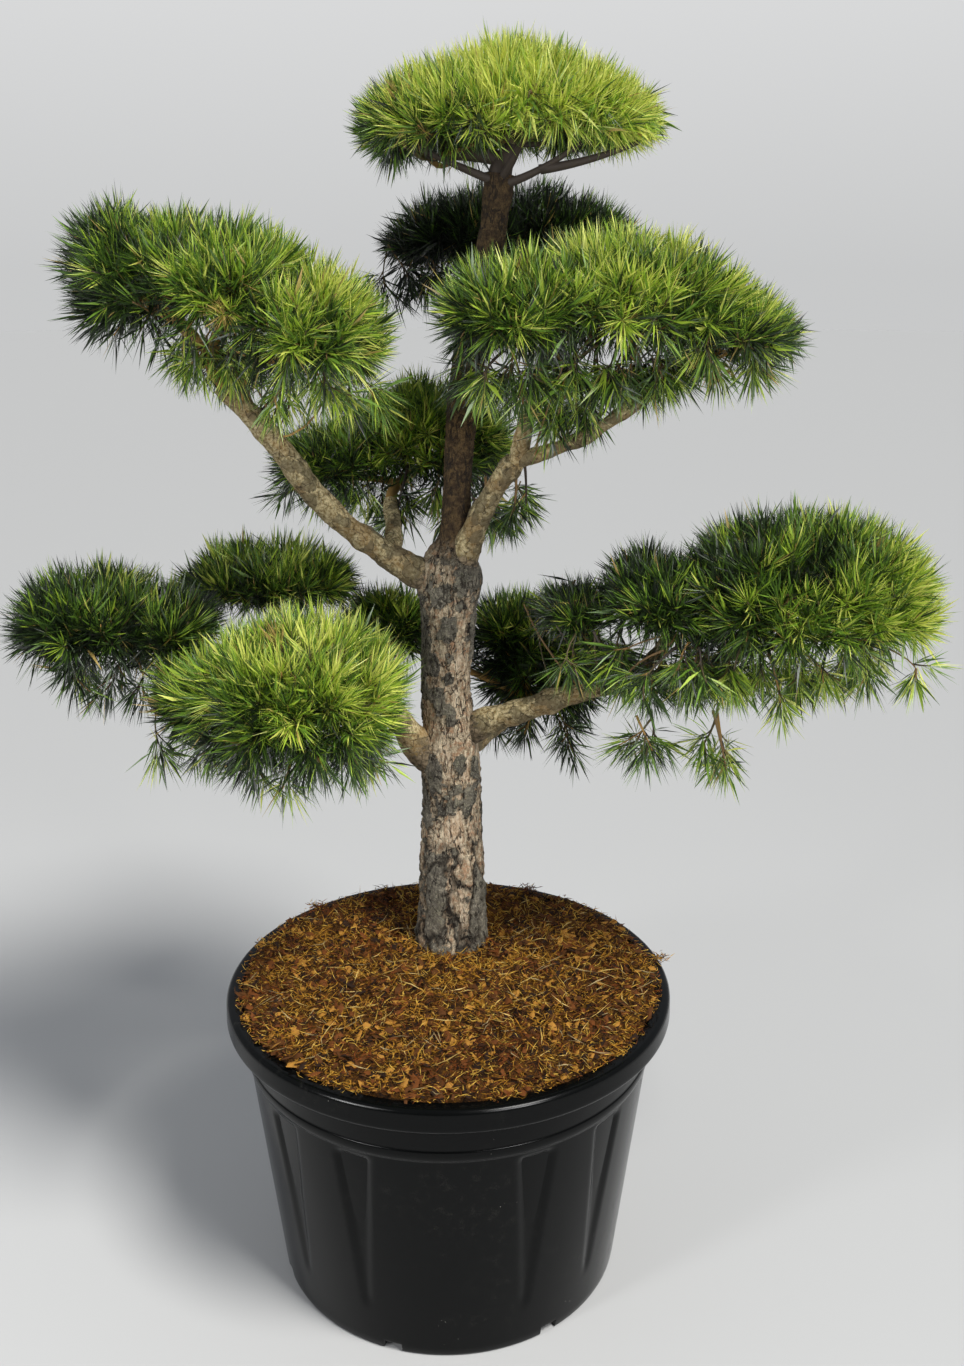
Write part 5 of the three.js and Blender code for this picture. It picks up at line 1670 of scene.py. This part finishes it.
def needleSet(shoots, droop, habit, random):
    # Pairs of needles round the last stretch of each shoot, wide open at its foot and nearly along it at its
    # tip. A needle is four faces: a root, a tip and two shoulders part of the way along, bent a little
    settings = foliageSettings
    count, pairs = len(shoots[0]), habit["pairs"]
    arc = np.linalg.norm(shoots[1] - shoots[0], axis=1) + np.linalg.norm(shoots[2] - shoots[1], axis=1)
    bare = 1 - np.minimum(habit["stretch"] * random.uniform(0.85, 1.15, count) / np.maximum(arc, 1e-3), 0.97)
    step = (np.arange(pairs)[None] + random.random((count, pairs))) / pairs
    share = (bare[:, None] + (1 - bare[:, None]) * step ** 0.8).ravel()
    owner = np.repeat(np.arange(count), pairs)
    runs = [part[owner] for part in shoots]
    root, axis = curvePoint(runs, share), curveWay(runs, share)
    side, other = squareTo(axis)
    turn = np.tile(np.arange(pairs), count) * goldenAngle + owner * 1.7 + random.normal(0, 0.3, len(owner))
    turn = turn[:, None]
    opening = lerp(*habit["open"], step.ravel()) + random.normal(0, habit["stray"], len(owner))
    opening = np.radians(np.maximum(opening, 2))[:, None]
    radial = np.cos(turn) * side + np.sin(turn) * other
    across = np.cos(turn) * other - np.sin(turn) * side
    points = []
    for twin in (-1, 1):
        spread = twin * settings["pairSpread"] * random.uniform(0.4, 1.3, len(owner))[:, None]
        way = axis * np.cos(opening) + (radial * np.cos(spread) + across * np.sin(spread)) * np.sin(opening)
        way[:, 2] -= droop[owner]
        way /= np.linalg.norm(way, axis=1, keepdims=True)
        length = lerp(*habit["lengths"], random.random(len(owner)))
        tip = root + way * length[:, None]
        flat = np.cross(way, radial)
        flat /= np.maximum(np.linalg.norm(flat, axis=1, keepdims=True), 1e-6)
        curl = np.cross(flat, way)
        bend = length * random.normal(0.02, 0.03, len(owner)) + habit["width"] * 0.3
        belly = lerp(root, tip, settings["shoulder"]) + curl * bend[:, None]
        half = habit["width"] / 2
        points.append(np.stack([root, belly - flat * half, belly + flat * half, tip], 1))
    points = np.concatenate(points)
    edge = points[:, 1:] - points[:, :1]
    volume = np.einsum("ij,ij->i", edge[:, 0], np.cross(edge[:, 1], edge[:, 2]))
    faces = np.arange(len(points))[:, None, None] * 4 + np.array([[0, 1, 2], [0, 3, 1], [0, 2, 3], [3, 2, 1]])
    faces = np.where((volume > 0)[:, None, None], faces[:, :, ::-1], faces)
    return points.reshape(-1, 3), faces.reshape(-1, 3), np.concatenate([owner, owner])


def makeWood(name, mass, stems, boughs, twigs, bare, shoots, finish, random):
    # All the wood of one mass as one piece, from stems to shoots. The crown's stems are dark, as its arms
    # are: painted shade under the crown
    settings = foliageSettings
    # The crown's stems and arms take the darkest twig tone as painted shade; other masses' stems take the
    # golden one
    stemTone = 3 if mass["limbs"][0][0] == "trunk" else 0
    stemRadius = stems[0][2]
    woods = [(run, (np.array([first]), np.array([last])), 10, 8, stemTone) for run, first, last in stems]
    thick = np.full(len(boughs[0]), stemRadius * 0.55)
    woods.append((boughs, (thick, np.full(len(thick), settings["twigRadius"])), 7, 6, None))
    thick = settings["twigRadius"] * random.uniform(0.8, 1.3, len(twigs[0]))
    woods.append((twigs, (thick, thick * 0.6), 5, 5, None))
    thick = settings["shootRadius"] * random.uniform(0.7, 1.5, len(bare[0]))
    woods.append((bare, (thick * 1.4, thick * 0.6), 6, 5, None))
    thick = settings["shootRadius"] * random.uniform(0.8, 1.2, len(shoots[0]))
    woods.append((shoots, (thick * 1.3, thick * 0.8), 4, 3, None))
    points, quads, fans, quadTones, fanTones, offset = [], [], [], [], [], 0
    for runs, radii, rings, sides, tone in woods:
        count = len(runs[0])
        if count == 0:
            continue
        tubePoints, tubeQuads, tubeFans = tubeSet(runs, radii, rings, sides)
        if tone is None:
            tones = random.choice(len(twigTones), count, p=settings["twigToneShares"])
        else:
            tones = np.full(count, tone)
        points.append(tubePoints)
        quads.append(tubeQuads + offset)
        fans.append(tubeFans + offset)
        quadTones.append(np.repeat(tones, (rings - 1) * sides))
        fanTones.append(np.repeat(tones, 2 * sides))
        offset += len(tubePoints)
    points = np.concatenate(points)
    faces = outwardFaces(points, [np.concatenate(quads), np.concatenate(fans)])
    tones = np.concatenate(quadTones + fanTones)
    makePiece(name.replace("mass_", "twigs_"), points, faces, finish, [name], tones=tones)


def dealTones(bright, owner, random):
    # A tone for each shoot by its brightness, with some needles a step or two lighter or darker, and some dry
    settings = toneSettings
    driest = len(greenTones) - 1
    # The brightness holds painted light and shade, so the tone picked from it paints them; the random steps
    # and dry needles are the needles' own colour
    tone = np.clip(np.round(bright * settings["steps"]), 0, driest - 1).astype(int)
    dry = random.random(len(tone)) < settings["dryShoots"]
    change = np.digitize(random.random(len(owner)), settings["changes"]) - 2
    needleTone = np.clip(tone[owner] + change, 0, driest - 1)
    return np.where(dry[owner] | (random.random(len(owner)) < settings["dryNeedles"]), driest, needleTone)


def makeMass(name, mass, seed, finishes):
    # One piece of wood and one of needles; gives the numbers of shoots and of needle faces
    stems, boughs, twigs, bare, groups, random = growMass(mass, seed)
    shoots = joined(groups["full"][0], groups["loose"][0])
    makeWood(name, mass, stems, boughs, twigs, bare, shoots, finishes["twigs"], random)
    points, faces, tones, offset = [], [], [], 0
    for habit, (shoots, bright, droop) in groups.items():
        newPoints, newFaces, owner = needleSet(shoots, droop, needleHabits[habit], random)
        points.append(newPoints)
        faces.append(newFaces + offset)
        tones.append(np.repeat(dealTones(bright, owner, random), 4))
        offset += len(newPoints)
    faces = np.concatenate(faces)
    makePiece(name.replace("mass_", "needles_"), np.concatenate(points), [faces], finishes["needles"],
              [name], smooth=False, tones=np.concatenate(tones))
    return len(groups["full"][1]) + len(groups["loose"][1]), len(faces)


def makeFoliage():
    finishes = {
        "needles": [plainFinish(name, colour, 0.42) for name, colour in greenTones],
        "twigs": [plainFinish(name, colour, 0.8) for name, colour in twigTones],
    }
    shootCount, faceCount = 0, 0
    for number, (name, mass) in enumerate(masses.items()):
        shoots, faces = makeMass(name, mass, 101 + number, finishes)
        shootCount, faceCount = shootCount + shoots, faceCount + faces
        print(name, shoots, "shoots,", faces, "needle faces")
    print("foliage:", shootCount, "shoots,", faceCount, "needle faces")


def makeFloor():
    # A wide disc just below the pot
    sides = 96
    turn = np.linspace(0, 2 * np.pi, sides, endpoint=False)
    radius = floorSettings["radius"]
    points = np.stack([np.cos(turn) * radius, np.sin(turn) * radius, np.zeros(sides)], -1)
    mesh = bpy.data.meshes.new("floor")
    mesh.from_pydata(points.tolist(), [], [list(range(sides))])
    mesh.materials.append(plainFinish("paleFloor", floorSettings["colour"], floorSettings["roughness"]))
    floor = bpy.data.objects.new("floor", mesh)
    bpy.context.scene.collection.objects.link(floor)
    floor.location.z = -floorSettings["drop"]


setStudio()
makeFloor()
print("studio: camera, floor, sun, softboxes and gloss panels")
makePot()
print("pot: turned shell with lip, ring, flutes and notches")
makeSoil()
print("soil: bed, fibres, straws and chips")
makeTrunk()
print("trunk: plates, ridges and fissures")
makeBoughs()
print("boughs:", len(boughStations))
makeFoliage()
